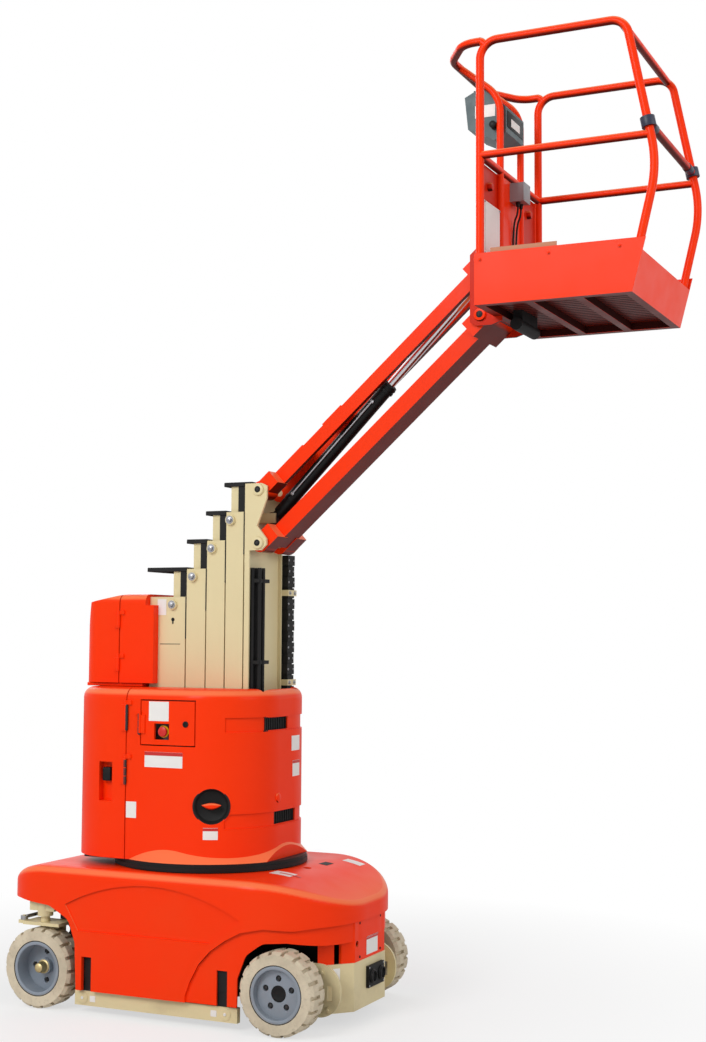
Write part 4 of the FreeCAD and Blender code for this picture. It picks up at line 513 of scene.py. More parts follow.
def hose(points, radius, name, finish, body):
    """A hose or pipe along a smooth line, as a closed tube."""
    clear_bench()
    data = bpy.data.curves.new(name, "CURVE")
    data.dimensions = "3D"
    line = data.splines.new("NURBS")
    line.points.add(len(points) - 1)
    for spot, place in zip(line.points, points):
        spot.co = (*place, 1)
    line.order_u = 3
    line.use_endpoint_u = True
    data.bevel_depth = radius
    data.bevel_resolution = 3
    data.resolution_u = 8
    data.use_fill_caps = True
    piece = bpy.data.objects.new(name, data)
    bpy.context.scene.collection.objects.link(piece)
    pick(piece)
    bpy.ops.object.convert(target="MESH")
    return settle(bpy.context.object, name, finish, body, 50)


def across(inner, outer, side):
    """Two distances from the centre plane, put on one side of the machine in rising order."""
    return sorted((inner * side, outer * side))


# Wheels

WHEEL_X = 0.587
WHEEL_Y = 0.435
WHEEL_Z = 0.172
HOLE_CIRCLE = 0.062
RIM_LIP_Y = 0.4905
HUB_SCREW_CIRCLE = 0.0295
WHEEL_KINDS = (
    # kind, end of the machine, holes in the disc, the disc's face from the wheel's middle
    ("drive", 1, 5, 0.0225),
    ("steer", -1, 4, -0.0275),
)


def on_circle(centre, radius, count, start):
    """Places spaced round a wheel's axis, from a start angle in degrees."""
    x, y, z = centre
    angles = [math.radians(start + 360 * index / count) for index in range(count)]
    return [(x + radius * math.cos(angle), y, z + radius * math.sin(angle)) for angle in angles]


def dress_wheels():
    """Studs in the wheel holes, lips on the rims, caps on the steered hubs, faces on the driven hubs."""
    for kind, end, holes, seat in WHEEL_KINDS:
        for word, side in SIDES:
            out = (0, side, 0)
            body = "%s_wheel_%s" % (kind, word)
            disc = (WHEEL_X * end, (WHEEL_Y + seat) * side, WHEEL_Z)
            studs = bolts(on_circle(disc, HOLE_CIRCLE, holes, 90), out, 0.0065, head=0.8)
            settle(studs, "wheel_studs_" + kind + "_" + word, "iron", body)
    for kind, end, holes, seat in WHEEL_KINDS:
        for word, side in SIDES:
            out = (0, side, 0)
            body = "%s_wheel_%s" % (kind, word)
            tyre_face = (WHEEL_X * end, RIM_LIP_Y * side, WHEEL_Z)
            lip = band(0.1008, 0.0040, 0.0150, tyre_face, out, 72)
            settle(lip, "rim_lip_%s_%s" % (kind, word), "rim", body)
            seam = band(0.1160, 0.0040, 0.0034, tyre_face, out, 72)
            settle(seam, "tyre_seam_%s_%s" % (kind, word), "rubber", body)
    for word, side in SIDES:
        out = (0, side, 0)
        face = (-WHEEL_X, (WHEEL_Y + 0.0058) * side, WHEEL_Z)
        cap = turned([(0.030, 0), (0.030, 0.004), (0.024, 0.007), (0.0215, 0.012), (0.0215, 0.034),
                      (0.0195, 0.040), (0.014, 0.044), (0.006, 0.0455)], face, out, 36)
        settle(cap, "hub_cap_" + word, "brass", "steer_wheel_" + word)
        hub = (WHEEL_X, (WHEEL_Y + 0.0258) * side, WHEEL_Z)
        boss = turned([(0.033, 0), (0.033, 0.003), (0.026, 0.004), (0.020, 0.0015), (0.010, 0.0012)],
                      hub, out, 36)
        rim = (hub[0], hub[1] + 0.003 * side, hub[2])
        small = screws(on_circle(rim, HUB_SCREW_CIRCLE, 6, 30), out, 0.0028)
        settle(joined([boss, small]), "drive_hub_face_" + word, "black", "chassis")


# Chassis

BAR_FACE = 0.4632
BAR_PLATES_X = (-0.314, 0.284)
BAR_SHOES_X = (-0.366, 0.338)
BAR_MIDDLE_Z = 0.064
SLOTS_X = (-0.332, 0.330)
SOCKET_X = 0.799
COVER_LABELS = (
    # name, centre, facing, width, height, finish, stand
    ("end_panel_label", (0.785, 0.020, 0.310), (1, 0, 0), 0.115, 0.078),
    ("end_panel_label_band", (0.785, 0.020, 0.341), (1, 0, 0), 0.115, 0.014, "red label", BAND_STAND),
    ("deck_label_near", (0.470, -0.205, 0.612), (0, 0, 1), 0.075, 0.100),
    ("deck_label_far", (0.550, 0.330, 0.580), (0.2, 0, 1), 0.060, 0.090),
    ("deck_slot", (0.495, 0.163, 0.612), (0, 0, 1), 0.070, 0.040, "rubber"),
    ("deck_label_band_near", (0.504, -0.205, 0.612), (0, 0, 1), 0.012, 0.100, "red label", BAND_STAND),
)


def dress_pothole_bar(word, side):
    """Blank plates, round shoes and bolts on a pothole bar."""
    body = "pothole_bar_" + word
    out = (0, side, 0)
    face = BAR_FACE * side
    low_y, high_y = across(BAR_FACE, BAR_FACE + 0.0012, side)
    plates = [block((x - 0.014, low_y, 0.050), (x + 0.014, high_y, 0.076), 0.0005, 1) for x in BAR_PLATES_X]
    settle(joined(plates), "bar_plates_" + word, "white", body)
    shoes = [turned([(0.0270, 0), (0.0270, 0.0014), (0.0255, 0.0022), (0.0140, 0.0022)],
                    (x, face, BAR_MIDDLE_Z), out, 28) for x in BAR_SHOES_X]
    settle(joined(shoes), "bar_shoes_" + word, "beige", body)
    ends = [(x, face + 0.0018 * side, BAR_MIDDLE_Z) for x in BAR_SHOES_X]
    settle(screws(ends, out, 0.0070), "bar_bolts_" + word, "white", body)


def dress_chassis():
    """Kingpins, bars, brackets, slot liners, charging sockets, blank labels and panel screws."""
    for word, side in SIDES:
        kingpin = hex_bolt((-WHEEL_X, WHEEL_Y * side, 0.4502), (0, 0, 1), 0.0105)
        settle(kingpin, "kingpin_bolt_" + word, "steel", "knuckle_" + word)
        dress_pothole_bar(word, side)
        y = 0.2912 * side
        spots = [(0.640, y, 0.236), (0.700, y, 0.236), (0.726, y, 0.086)]
        settle(bolts(spots, (0, side, 0), 0.0075), "bracket_bolts_" + word, "beige", "chassis")
        low_y, high_y = across(0.4642, 0.4668, side)
        liners = [block((x - 0.029, low_y, 0.153), (x + 0.029, high_y, 0.252), 0.0008, 1) for x in SLOTS_X]
        settle(joined(liners), "slot_liners_" + word, "rubber", "chassis")
        low_y, high_y = across(0.4633, 0.4640, side)
        hangers = [block((x - 0.036, low_y, 0.096), (x + 0.030, high_y, 0.166), 0.0002, 1) for x in SLOTS_X]
        settle(joined(hangers), "hanger_faces_" + word, "rubber", "pothole_bar_" + word)
    well = block((0.452, -0.034, 0.586), (0.514, 0.034, 0.598), 0.002)
    settle(well, "deck_hole_liner", "rubber", "chassis")
    ahead = (1, 0, 0)
    shells = []
    for y in (-0.004, 0.084):
        collar = turned([(0.030, 0), (0.030, 0.005), (0.027, 0.007), (0.026, 0.012), (0.022, 0.012),
                         (0.020, 0.004), (0.006, 0.003)], (SOCKET_X, y, 0.178), ahead, 30)
        face_x = SOCKET_X + 0.003
        pins = screws([(face_x, y - 0.008, 0.172), (face_x, y + 0.008, 0.172), (face_x, y, 0.187)],
                      ahead, 0.0025)
        shells += [collar, pins]
    settle(joined(shells), "charging_sockets", "black", "chassis")
    corners = [(SOCKET_X, y, z) for y in (-0.033, 0.113) for z in (0.140, 0.216)]
    settle(screws(corners, ahead, 0.0045), "socket_box_screws", "steel", "chassis")
    label("bumper_label", "drive_end_frame", "chassis", (0.7655, -0.237, 0.218), (0.9, -0.436, 0),
          0.030, 0.048)
    for name, *rest in COVER_LABELS:
        label(name, "chassis_cover", "chassis", *rest)
    panel = [(0.7845, y, z) for y in (-0.10575, 0.10575) for z in (0.275, 0.415)]
    settle(screws(panel, ahead, 0.006), "end_panel_screws", "black", "chassis")


# Hood, its doors and the upper box

RECESS_TURN = math.radians(64.4)
RECESS_OUT = (math.cos(RECESS_TURN), -math.sin(RECESS_TURN), 0)
RECESS_CORNER = (0.065, -0.075)
RECESS_Z = 0.896
PULL_HALF = 0.042
HINGE_Y = -0.3915
NEAR = (0, -1, 0)
NEAR_HINGES = (
    # x, lower end, upper end
    (-0.211, 1.211, 1.319),
    (-0.215, 0.977, 1.085),
    (-0.1455, 1.196, 1.286),
)
HOOD_CORNER = (0.43, -0.9, 0)
HOOD_LABELS = (
    # name, node, body, centre, facing, width, height, finish, stand
    ("control_door_label", "control_door", "control_door", (-0.050, -0.385, 1.296), NEAR, 0.100, 0.084),
    ("hood_label_wide", "hood", "turntable", (-0.0235, -0.385, 1.088), NEAR, 0.190, 0.066),
    ("hood_label_low", "hood", "turntable", (0.196, -0.355, 0.781), HOOD_CORNER, 0.064, 0.050),
    ("door_label", "hood", "turntable", (-0.184, -0.385, 0.868), NEAR, 0.052, 0.070),
    ("front_label_upper", "hood", "turntable", (0.375, 0.092, 1.148), (1, 0, 0), 0.090, 0.066),
    ("front_label_lower", "hood", "turntable", (0.375, 0.098, 1.036), (1, 0, 0), 0.080, 0.070),
    ("mast_label", "mast_section_1", "turntable", (-0.182, -0.158, 1.752), NEAR, 0.046, 0.072),
    ("hood_label_band", "hood", "turntable", (-0.0235, -0.385, 1.113), NEAR, 0.190, 0.015,
     "red label", BAND_STAND),
    ("hood_label_low_band", "hood", "turntable", (0.196, -0.355, 0.799), HOOD_CORNER, 0.064, 0.012,
     "red label", BAND_STAND),
    ("front_label_band", "hood", "turntable", (0.375, 0.098, 1.064), (1, 0, 0), 0.080, 0.012,
     "red label", BAND_STAND),
)


def recess_spot(radius):
    """A place on the round recess's axis, by its distance from the axis of the hood's corner."""
    return (RECESS_CORNER[0] + RECESS_OUT[0] * radius, RECESS_CORNER[1] + RECESS_OUT[1] * radius, RECESS_Z)


def vent_disc():
    """The black dish in the round recess, and the almond-shaped pull that bridges it."""
    dish = turned([(0.0815, 0), (0.0815, 0.030), (0.0790, 0.0335), (0.0745, 0.0335), (0.0700, 0.028),
                   (0.0640, 0.012), (0.0500, 0.006), (0.0100, 0.004)], recess_spot(0.2715), RECESS_OUT, 56)
    settle(dish, "vent_dish", "rubber", "turntable", 30)
    clear_bench()
    bpy.ops.mesh.primitive_uv_sphere_add(segments=36, ring_count=18, radius=1)
    pull = bpy.context.object
    pull.scale = (PULL_HALF, 0.015, 0.012)
    fix_place(pull)
    for vertex in pull.data.vertices:
        reach = abs(vertex.co.x) / PULL_HALF
        vertex.co.y *= 1 - 0.55 * reach ** 2
        vertex.co.y += 0.005 * reach ** 2
    edit_all()
    bpy.ops.mesh.bisect(plane_co=(0, 0, -0.004), plane_no=(0, 0, 1), use_fill=True, clear_inner=True)
    clear_bench()
    pull.matrix_world = facing_matrix(recess_spot(0.300), RECESS_OUT)
    settle(pull, "vent_pull", "orange", "turntable", 50)
    feet = []
    for reach in (-0.026, 0.026):
        x, y, z = recess_spot(0.276)
        foot = turned([(0.010, 0), (0.008, 0.006), (0.007, 0.022)],
                      (x - RECESS_OUT[1] * reach, y + RECESS_OUT[0] * reach, z), RECESS_OUT, 18)
        feet.append(foot)
    settle(joined(feet), "vent_pull_feet", "rubber", "turntable")


def grille(name, low, high, slats):
    """A black louvre: a frame with upright slats before a back plate."""
    low, high = Vector(low), Vector(high)
    rim = 0.006
    half_slat = 0.0035
    pieces = []
    for index in range(slats):
        middle = low.y + (high.y - low.y) * (index + 0.5) / slats
        pieces.append(block((low.x, middle - half_slat, low.z), (high.x, middle + half_slat, high.z),
                            0.0012, 1))
    pieces.append(block(low, (low.x + 0.0025, high.y, high.z), 0.0008, 1))
    for z in (low.z, high.z - rim):
        pieces.append(block((low.x, low.y, z), (high.x, high.y, z + rim), 0.0012, 1))
    settle(joined(pieces), name, "black", "turntable")


def hinge(x, low, high):
    """A hinge barrel in three parts on its pin."""
    part = (high - low) / 3
    knuckles = [turned([(0.0058, 0), (0.0066, 0.001), (0.0066, part - 0.002), (0.0058, part - 0.001)],
                       (x, HINGE_Y, low + part * index), (0, 0, 1), 16) for index in range(3)]
    length = high - low
    pin = turned([(0.0042, -0.003), (0.0050, 0), (0.0050, length), (0.0042, length + 0.003)],
                 (x, HINGE_Y, low), (0, 0, 1), 14)
    return knuckles + [pin]


def dress_controls():
    """The stop knob behind its window, the plate of switches, and the latch of the control door."""
    stop_x, stop_y, stop_z = -0.0355, -0.3655, 1.2085
    collar = turned([(0.0265, 0), (0.0265, 0.002), (0.0255, 0.003), (0.021, 0.003)],
                    (stop_x, stop_y, stop_z), NEAR, 32)
    settle(collar, "stop_collar", "knob yellow", "turntable")
    knob = turned([(0.0115, 0), (0.0115, 0.006), (0.0215, 0.0075), (0.0225, 0.0100), (0.0205, 0.0145),
                   (0.0120, 0.0175), (0.003, 0.0180)], (stop_x, stop_y - 0.001, stop_z), NEAR, 36)
    settle(knob, "stop_knob", "knob red", "turntable")
    face = block((-0.140, -0.3055, 1.150), (0.126, -0.3035, 1.338), 0.0008)
    settle(face, "control_plate", "grey", "turntable")
    spots = ((-0.105, 1.290), (-0.060, 1.290), (-0.015, 1.290), (0.060, 1.290), (0.060, 1.200))
    switches = [turned([(0.013, 0), (0.013, 0.004), (0.009, 0.006), (0.008, 0.018), (0.005, 0.020)],
                       (x, -0.3055, z), NEAR, 20) for x, z in spots]
    settle(joined(switches), "control_switches", "black", "turntable")
    latch = turned([(0.0135, 0), (0.0135, 0.0025), (0.0115, 0.0040), (0.0070, 0.0040), (0.0065, 0.0015)],
                   (0.0840, -0.3848, 1.243), NEAR, 28)
    settle(latch, "control_latch", "black", "control_door")


def dress_hood():
    """Vent, hinges, grilles, controls, door cups, blank labels and the marks on the first mast section."""
    vent_disc()
    hinges = []
    for x, low, high in NEAR_HINGES:
        hinges += hinge(x, low, high)
    settle(joined(hinges), "hinge_barrels_near", "iron", "turntable")
    seat = block((-0.560, -0.186, 1.3942), (-0.262, 0.186, 1.4094), 0.003)
    settle(seat, "box_seat", "orange", "turntable")
    grille("upper_grille", (0.346, -0.176, 1.208), (0.3595, 0.026, 1.276), 12)
    grille("lower_grille", (0.346, -0.106, 0.798), (0.3595, 0.106, 0.866), 12)
    plug = turned([(0.021, -0.004), (0.021, 0.003), (0.019, 0.006), (0.012, 0.0085), (0.004, 0.0095)],
                  (0.3738, -0.077, 0.919), (1, 0, 0), 32)
    settle(plug, "hood_plug", "orange", "turntable")
    dress_controls()
    for word, side in SIDES:
        low_y, high_y = across(0.3405, 0.3445, side)
        back = block((-0.353, low_y, 0.902), (-0.287, high_y, 1.068), 0.0015)
        settle(back, "door_cup_liner_" + word, "rubber", "rear_door_" + word)
        low_y, high_y = across(0.3455, 0.3720, side)
        paddle = block((-0.345, low_y, 0.985), (-0.303, high_y, 1.045), 0.006, 4)
        settle(paddle, "door_paddle_" + word, "black", "rear_door_" + word)
    for row in HOOD_LABELS:
        label(*row)
    keyhole = turned([(0.0085, 0), (0.0085, 0.0012), (0.0050, 0.0012), (0.0040, 0.0004)],
                     (-0.124, -0.1578, 1.696), NEAR, 24)
    slot = block((-0.1275, -0.1592, 1.676), (-0.1205, -0.1578, 1.692), 0.0005, 1)
    settle(joined([keyhole, slot]), "mast_keyhole", "black", "turntable")
    seam = block((-0.190, -0.1588, 1.5845), (-0.085, -0.1577, 1.5875), 0.0004, 1)
    settle(seam, "mast_seam", "iron", "turntable")


# Mast

SECTION_FRONT = (-0.060, 0.043, 0.140, 0.233, 0.263)
MAST_TOP = 1.798
MAST_STEP = 0.1248
MAST_HALF = 0.158
SECTION_BODY = ("turntable", "mast_2", "mast_3", "mast_4", "mast_5")
CAP_HALF = 0.1525
CAPS = (
    # section, rear, front
    (2, -0.266, -0.058),
    (3, -0.061, 0.043),
    (4, 0.036, 0.140),
    (5, 0.129, 0.271),
)
CHAIN_RIVETS = 20
CHAIN_LENGTH = 0.996
CHAIN_LOW = 1.000


def mast_cap(section, rear, front):
    """A black sheet over a section, bent down at its rear and sides."""
    top = MAST_TOP + MAST_STEP * (section - 1)
    lip_end = SECTION_FRONT[section - 2]
    sheets = [
        block((rear, -CAP_HALF, top + 0.0004), (front, CAP_HALF, top + 0.0084), 0.0022, 2),
        block((rear, -CAP_HALF, top - 0.011), (rear + 0.003, CAP_HALF, top + 0.003), 0.001, 1),
    ]
    for word, side in SIDES:
        low_y, high_y = across(0.1490, CAP_HALF, side)
        sheets.append(block((rear, low_y, top - 0.011), (lip_end, high_y, top + 0.003), 0.001, 1))
    settle(joined(sheets), "mast_cap_%d" % section, "rubber", "mast_%d" % section)


def dress_mast():
    """Pulley bolts, black strips that paint the shade of the gaps at the sections' fronts, chain channels
    and caps, and the fixings of the cable chain.
    """
    for index in range(4):
        body = SECTION_BODY[index]
        top = MAST_TOP + MAST_STEP * index
        front = SECTION_FRONT[index]
        gap_shade_blocks = []
        for word, side in SIDES:
            x = front - 0.064
            out = (0, side, 0)
            bolt = hex_bolt((x, (MAST_HALF + 0.0138) * side, top - 0.035), out, 0.0105)
            settle(bolt, "pulley_bolt_%d_%s" % (index + 1, word), "steel", body)
            # Painted shade: thin black strips at each section's front stand in for the shade in the gap to
            # the next section.
            low_y, high_y = across(0.1480, 0.1602, side)
            gap_shade_blocks.append(block((front + 0.0003, low_y, top - 0.188), (front + 0.0052, high_y, top - 0.001),
                                0.0008, 1))
        settle(joined(gap_shade_blocks), "wear_strips_%d" % (index + 1), "rubber", body)
        channels = []
        for word, side in SIDES:
            low_y, high_y = across(0.1405, 0.1474, side)
            channels.append(block((front - 0.034, low_y, top - 0.980),
                                  (front + 0.004, high_y, top + MAST_STEP - 0.004), 0.001, 1))
        settle(joined(channels), "chain_channels_%d" % (index + 2), "rubber", SECTION_BODY[index + 1])
    for row in CAPS:
        mast_cap(*row)
    rivets = []
    pitch = CHAIN_LENGTH / CHAIN_RIVETS
    for index in range(CHAIN_RIVETS):
        z = CHAIN_LOW + pitch * (index + 0.5)
        shift = 0 if index % 2 else 0.005
        for y in (0.1633 + shift + 0.010, 0.2333 - shift - 0.010):
            rivets.append((0.2897, y, z))
    settle(screws(rivets, (1, 0, 0), 0.0055), "chain_rivets", "steel", "mast_5")
    bolts_on_bars = [(0.296, y, z) for y in (0.175, 0.222) for z in (1.4135, 1.8215)]
    settle(bolts(bolts_on_bars, (1, 0, 0), 0.0055), "chain_bracket_bolts", "steel", "mast_5")


# Jib

PIVOT_X = 0.306
PIVOT_Z = 2.033
PIVOT_SPACING = 0.236
ARM_LENGTH = 1.397
ARM_SLOPE = math.radians(41.9)
TIP_X = PIVOT_X + ARM_LENGTH * math.cos(ARM_SLOPE)
TIP_Z = PIVOT_Z + ARM_LENGTH * math.sin(ARM_SLOPE)


def on_arm(along, y, lift):
    """A place at the lower arm: along it from its pivot, across the machine, and square to the arm."""
    x = PIVOT_X + along * math.cos(ARM_SLOPE) - lift * math.sin(ARM_SLOPE)
    z = PIVOT_Z + along * math.sin(ARM_SLOPE) + lift * math.cos(ARM_SLOPE)
    return (x, y, z)


def pin_end(centre, side):
    """The collar of a pin and the black end of the pin in it."""
    out = (0, side, 0)
    collar = turned([(0.028, 0), (0.028, 0.004), (0.0250, 0.0105), (0.0150, 0.0118), (0.0140, 0.0100)],
                    centre, out, 36)
    disc = turned([(0.0146, 0.001), (0.0146, 0.0104), (0.0130, 0.0110), (0.0060, 0.0110), (0.0050, 0.0092)],
                  centre, out, 32)
    return collar, disc


JIB_PINS = (
    # body, place, finish of the collars, x, height of the lower pin
    ("mast_5", "base", "beige", PIVOT_X, PIVOT_Z),
    ("platform", "tip", "orange", TIP_X, TIP_Z),
)


def dress_jib():
    """Pin ends at both ends of the arms, hoses and clamps on the lower arm, and the cylinder."""
    for word, side in SIDES:
        face = (MAST_HALF - 0.0002) * side
        for body, place, finish, x, low in JIB_PINS:
            heights = (low, low + PIVOT_SPACING)
            ends = [pin_end((x, face, z), side) for z in heights]
            collars, discs = zip(*ends)
            settle(joined(collars), "pin_collars_%s_%s" % (place, word), finish, body)
            settle(joined(discs), "pin_ends_%s_%s" % (place, word), "black", body)
            spots = [(x, face + 0.0105 * side, z) for z in heights]
            settle(bolts(spots, (0, side, 0), 0.0040), "pin_bolts_%s_%s" % (place, word), "iron", body)
    for index, y in enumerate((-0.048, -0.028, 0.030, 0.050)):
        points = [on_arm(along, y, -0.016) for along in (0.10, 0.35, 0.70, 1.00, 1.28)]
        hose(points, 0.0085, "arm_hose_%d" % (index + 1), "rubber", "jib_lower")
    clamps = []
    for along in (0.22, 0.66, 1.10):
        strap = block((-0.008, -0.0605, -0.0095), (0.008, 0.0605, 0.0045), 0.0015)
        middle = Matrix.Translation(on_arm(along, 0, -0.0095))
        strap.matrix_world = middle @ Matrix.Rotation(-ARM_SLOPE, 4, "Y")
        fix_place(strap)
        clamps.append(strap)
    settle(joined(clamps), "arm_hose_clamps", "iron", "jib_lower")
    dress_cylinder()


def dress_cylinder():
    """Bands, wiper, ports and pipe on the barrel of the jib's cylinder."""
    base = Vector((PIVOT_X, 0, PIVOT_Z + PIVOT_SPACING / 2))
    far_end = Vector((TIP_X, 0, TIP_Z + PIVOT_SPACING))
    line = (far_end - base).normalized()
    rings = []
    for reach, radius, half in ((0.120, 0.0315, 0.008), (0.772, 0.0345, 0.006), (0.790, 0.0345, 0.004)):
        rings.append(band(radius - 0.0012, half, 0.0022, base + line * reach, line, 36))
    settle(joined(rings), "cylinder_bands", "black", "jib_barrel")
    wiper = turned([(0.0335, 0), (0.0335, 0.003), (0.028, 0.006), (0.0215, 0.006)],
                   base + line * 0.7998, line, 36)
    settle(wiper, "cylinder_wiper", "rubber", "jib_barrel")
    ports = []
    for reach in (0.150, 0.700):
        at = base + line * reach + Vector((0, -0.0285, 0))
        ports.append(turned([(0.009, 0), (0.009, 0.0085), (0.006, 0.0105)], at, (0, -1, 0), 6))
    settle(joined(ports), "cylinder_ports", "steel", "jib_barrel")
    pipe = [base + line * reach + Vector((0, -0.0352, 0)) for reach in (0.150, 0.28, 0.42, 0.56, 0.700)]
    hose(pipe, 0.0045, "cylinder_pipe", "steel", "jib_barrel")


# Platform

TRAY_REAR = 1.408
TRAY_FRONT = 2.055
TRAY_LOW = 2.954
TRAY_HALF = 0.396
FLOOR_TOP = 2.990
RAIL_TOP = 4.045
RAIL_MID = 3.5721
POST_X = 1.425
POST_Y = 0.3737
FLOOR_BAYS = 3
FLOOR_CHANNEL = 0.034
# Thin dark red sheets that paint the shade inside the floor's bays: their reach across and thickness.
SHADE_SHEET_Y = TRAY_HALF - 0.036
SHADE_SHEET_THICK = 0.0012


def floor_slots(start, under):
    """Rows of slots below one bay of the perforated floor."""
    slot = turned([(0.0045, 0), (0.0042, 0.0006)], (0, 0, 0), (0, 0, -1), 8)
    slot.scale = (0.9, 3.2, 1)
    fix_place(slot)
    in_rows(slot, ((20, (0, 0.0345, 0)), (10, (0.0155, 0, 0))))
    slot.matrix_world = Matrix.Translation((start + 0.014, -0.328, under - 0.0002))
    fix_place(slot)
    return slot


def floor_mesh():
    """Slots of the floor and dark sheets that paint the shade in its bays, seen from below, and its tread,
    seen from above.
    """
    bay = (TRAY_FRONT - TRAY_REAR - FLOOR_CHANNEL * (FLOOR_BAYS + 1)) / FLOOR_BAYS
    under = FLOOR_TOP - 0.004
    low = TRAY_LOW + 0.001
    rows = []
    shade_sheets = []
    for index in range(FLOOR_BAYS):
        start = TRAY_REAR + FLOOR_CHANNEL + (bay + FLOOR_CHANNEL) * index
        end = start + bay
        # Painted shade: a dark sheet on the two ends and the far side of each bay.
        sheets = (
            ((start, -SHADE_SHEET_Y, low), (start + SHADE_SHEET_THICK, SHADE_SHEET_Y, under)),
            ((end - SHADE_SHEET_THICK, -SHADE_SHEET_Y, low), (end, SHADE_SHEET_Y, under)),
            ((start, SHADE_SHEET_Y - SHADE_SHEET_THICK, low), (end, SHADE_SHEET_Y, under)),
        )
        shade_sheets += [block(corner, other, 0.0003, 1) for corner, other in sheets]
        rows.append(floor_slots(start, under))
    settle(joined(rows), "floor_slots", "rubber", "platform")
    settle(joined(shade_sheets), "tray_painted_shade_sheets", "painted shade", "platform")
    treads = []
    for turn, shift in ((0.6, 0.0), (-0.6, 0.013)):
        lozenge = turned([(0.0042, 0), (0.0030, 0.0008)], (0, 0, 0), (0, 0, 1), 6)
        lozenge.scale = (2.4, 0.8, 1)
        lozenge.rotation_euler = (0, 0, turn)
        fix_place(lozenge)
        in_rows(lozenge, ((16, (0.026, 0, 0)), (25, (0, 0.026, 0))))
        corner = (TRAY_REAR + 0.202 + shift, -0.324 + shift, FLOOR_TOP + 0.0018)
        lozenge.matrix_world = Matrix.Translation(corner)
        fix_place(lozenge)
        treads.append(lozenge)
    settle(joined(treads), "floor_tread", "orange", "platform")


def dress_console():
    """Joystick, switches, knobs, front panel, blank labels and screws of the platform's control console."""
    near_y = -0.1150
    label("console_label", "control_console", "platform", (1.352, near_y, 3.845), NEAR, 0.090, 0.052)
    knob = turned([(0.016, 0), (0.016, 0.004), (0.012, 0.006), (0.012, 0.016), (0.015, 0.018),
                   (0.015, 0.030), (0.010, 0.033)], (1.395, near_y + 0.0005, 3.775), NEAR, 24)
    settle(knob, "console_knob", "black", "platform")
    out = Vector((-0.42, 0, 0.907))
    boot = turned([(0.028, 0), (0.028, 0.003), (0.023, 0.006), (0.024, 0.011), (0.018, 0.014),
                   (0.019, 0.019), (0.012, 0.023), (0.0075, 0.027), (0.0070, 0.058), (0.0125, 0.064),
                   (0.0140, 0.080), (0.0110, 0.092), (0.0050, 0.096)],
                  (1.3000, 0.045, 3.9325), out, 28)
    settle(boot, "joystick", "rubber", "platform")
    switches = [turned([(0.009, 0), (0.009, 0.003), (0.005, 0.004), (0.004, 0.017), (0.003, 0.018)],
                       (1.300, y, 3.9325), out, 14) for y in (-0.085, -0.055, -0.025, 0.0)]
    settle(joined(switches), "console_switches", "black", "platform")
    stop = turned([(0.0120, 0), (0.0120, 0.006), (0.0200, 0.008), (0.0205, 0.012), (0.0120, 0.018),
                   (0.003, 0.0185)], (1.3150, 0.090, 3.9385), out, 30)
    settle(stop, "platform_stop_knob", "knob red", "platform")
    bezel = block((1.4448, -0.100, 3.770), (1.4470, 0.100, 3.842), 0.0010)
    settle(bezel, "console_panel", "black", "platform")
    label("console_front_label", "control_console", "platform", (1.445, 0, 3.800), (1, 0, 0),
          0.110, 0.034, stand=0.0026)
    corners = [(1.4449, y, z) for y in (-0.106, 0.106) for z in (3.757, 3.850)]
    settle(screws(corners, (1, 0, 0), 0.0035), "console_screws", "steel", "platform")


def dress_boxes():
    """Lid, glands and cables of the junction box, pedal of the foot switch, papers in the holder."""
    lid = block((1.4865, -0.022, 3.4685), (1.4925, 0.062, 3.5515), 0.0022, 3)
    settle(lid, "junction_lid", "grey", "platform")
    corners = [(1.4925, y, z) for y in (-0.014, 0.054) for z in (3.476, 3.544)]
    settle(screws(corners, (1, 0, 0), 0.0032), "junction_screws", "steel", "platform")
    cable_y = (0.0, 0.040)
    glands = [turned([(0.0105, 0), (0.0105, 0.008), (0.0085, 0.010), (0.0085, 0.018), (0.005, 0.020)],
                     (1.458, y, 3.4702), (0, 0, -1), 6) for y in cable_y]
    settle(joined(glands), "junction_glands", "black", "platform")
    for index, y in enumerate(cable_y):
        points = [(1.458, y, 3.452), (1.458, y, 3.42), (1.440, y + 0.004, 3.39), (1.434, y + 0.004, 3.30),
                  (1.434, y + 0.004, 3.17), (1.436, y, 3.118)]
        hose(points, 0.0042, "control_cable_%d" % (index + 1), "rubber", "platform")
    pedal = block((1.500, -0.045, 3.060), (1.588, 0.045, 3.069), 0.0035, 3)
    ribs = [block((x, -0.040, 3.0675), (x + 0.004, 0.040, 3.0715), 0.0009, 1)
            for x in (1.512, 1.526, 1.540, 1.554, 1.568)]
    plate = joined([pedal] + ribs)
    turn = Matrix.Rotation(math.radians(36), 4, "Y")
    middle = Matrix.Translation((1.531, 0, 3.094))
    plate.matrix_world = middle @ turn @ Matrix.Translation((-1.544, 0, -3.062))
    settle(plate, "foot_pedal", "iron", "platform")
    papers = block((1.4372, -0.344, 3.190), (1.4392, -0.182, 3.382), 0.0008)
    settle(papers, "document_papers", "white", "platform")
    clips = [(1.4390, y, z) for y in (-0.350, -0.176) for z in (3.178, 3.388)]
    settle(screws(clips, (1, 0, 0), 0.004), "holder_screws", "steel", "platform")


BAR_TOP = (2.030, 4.045)
BAR_FOOT = (2.152, 3.450)
KICK_BOLTS_X = (TRAY_REAR + 0.024, TRAY_REAR + 0.312, TRAY_FRONT - 0.048)
PANEL_REAR = 1.4140
PANEL_FRONT = 1.4168
PANEL_SHEETS = (
    # y from, y to, z from, z to
    (-0.352, 0.352, 3.350, 3.556),
    (-0.160, -0.135, 3.060, 3.352),
    (0.135, 0.235, 3.060, 3.352),
    (0.300, 0.352, 3.060, 3.352),
    (0.230, 0.305, 3.060, 3.180),
    (0.230, 0.305, 3.300, 3.352),
)


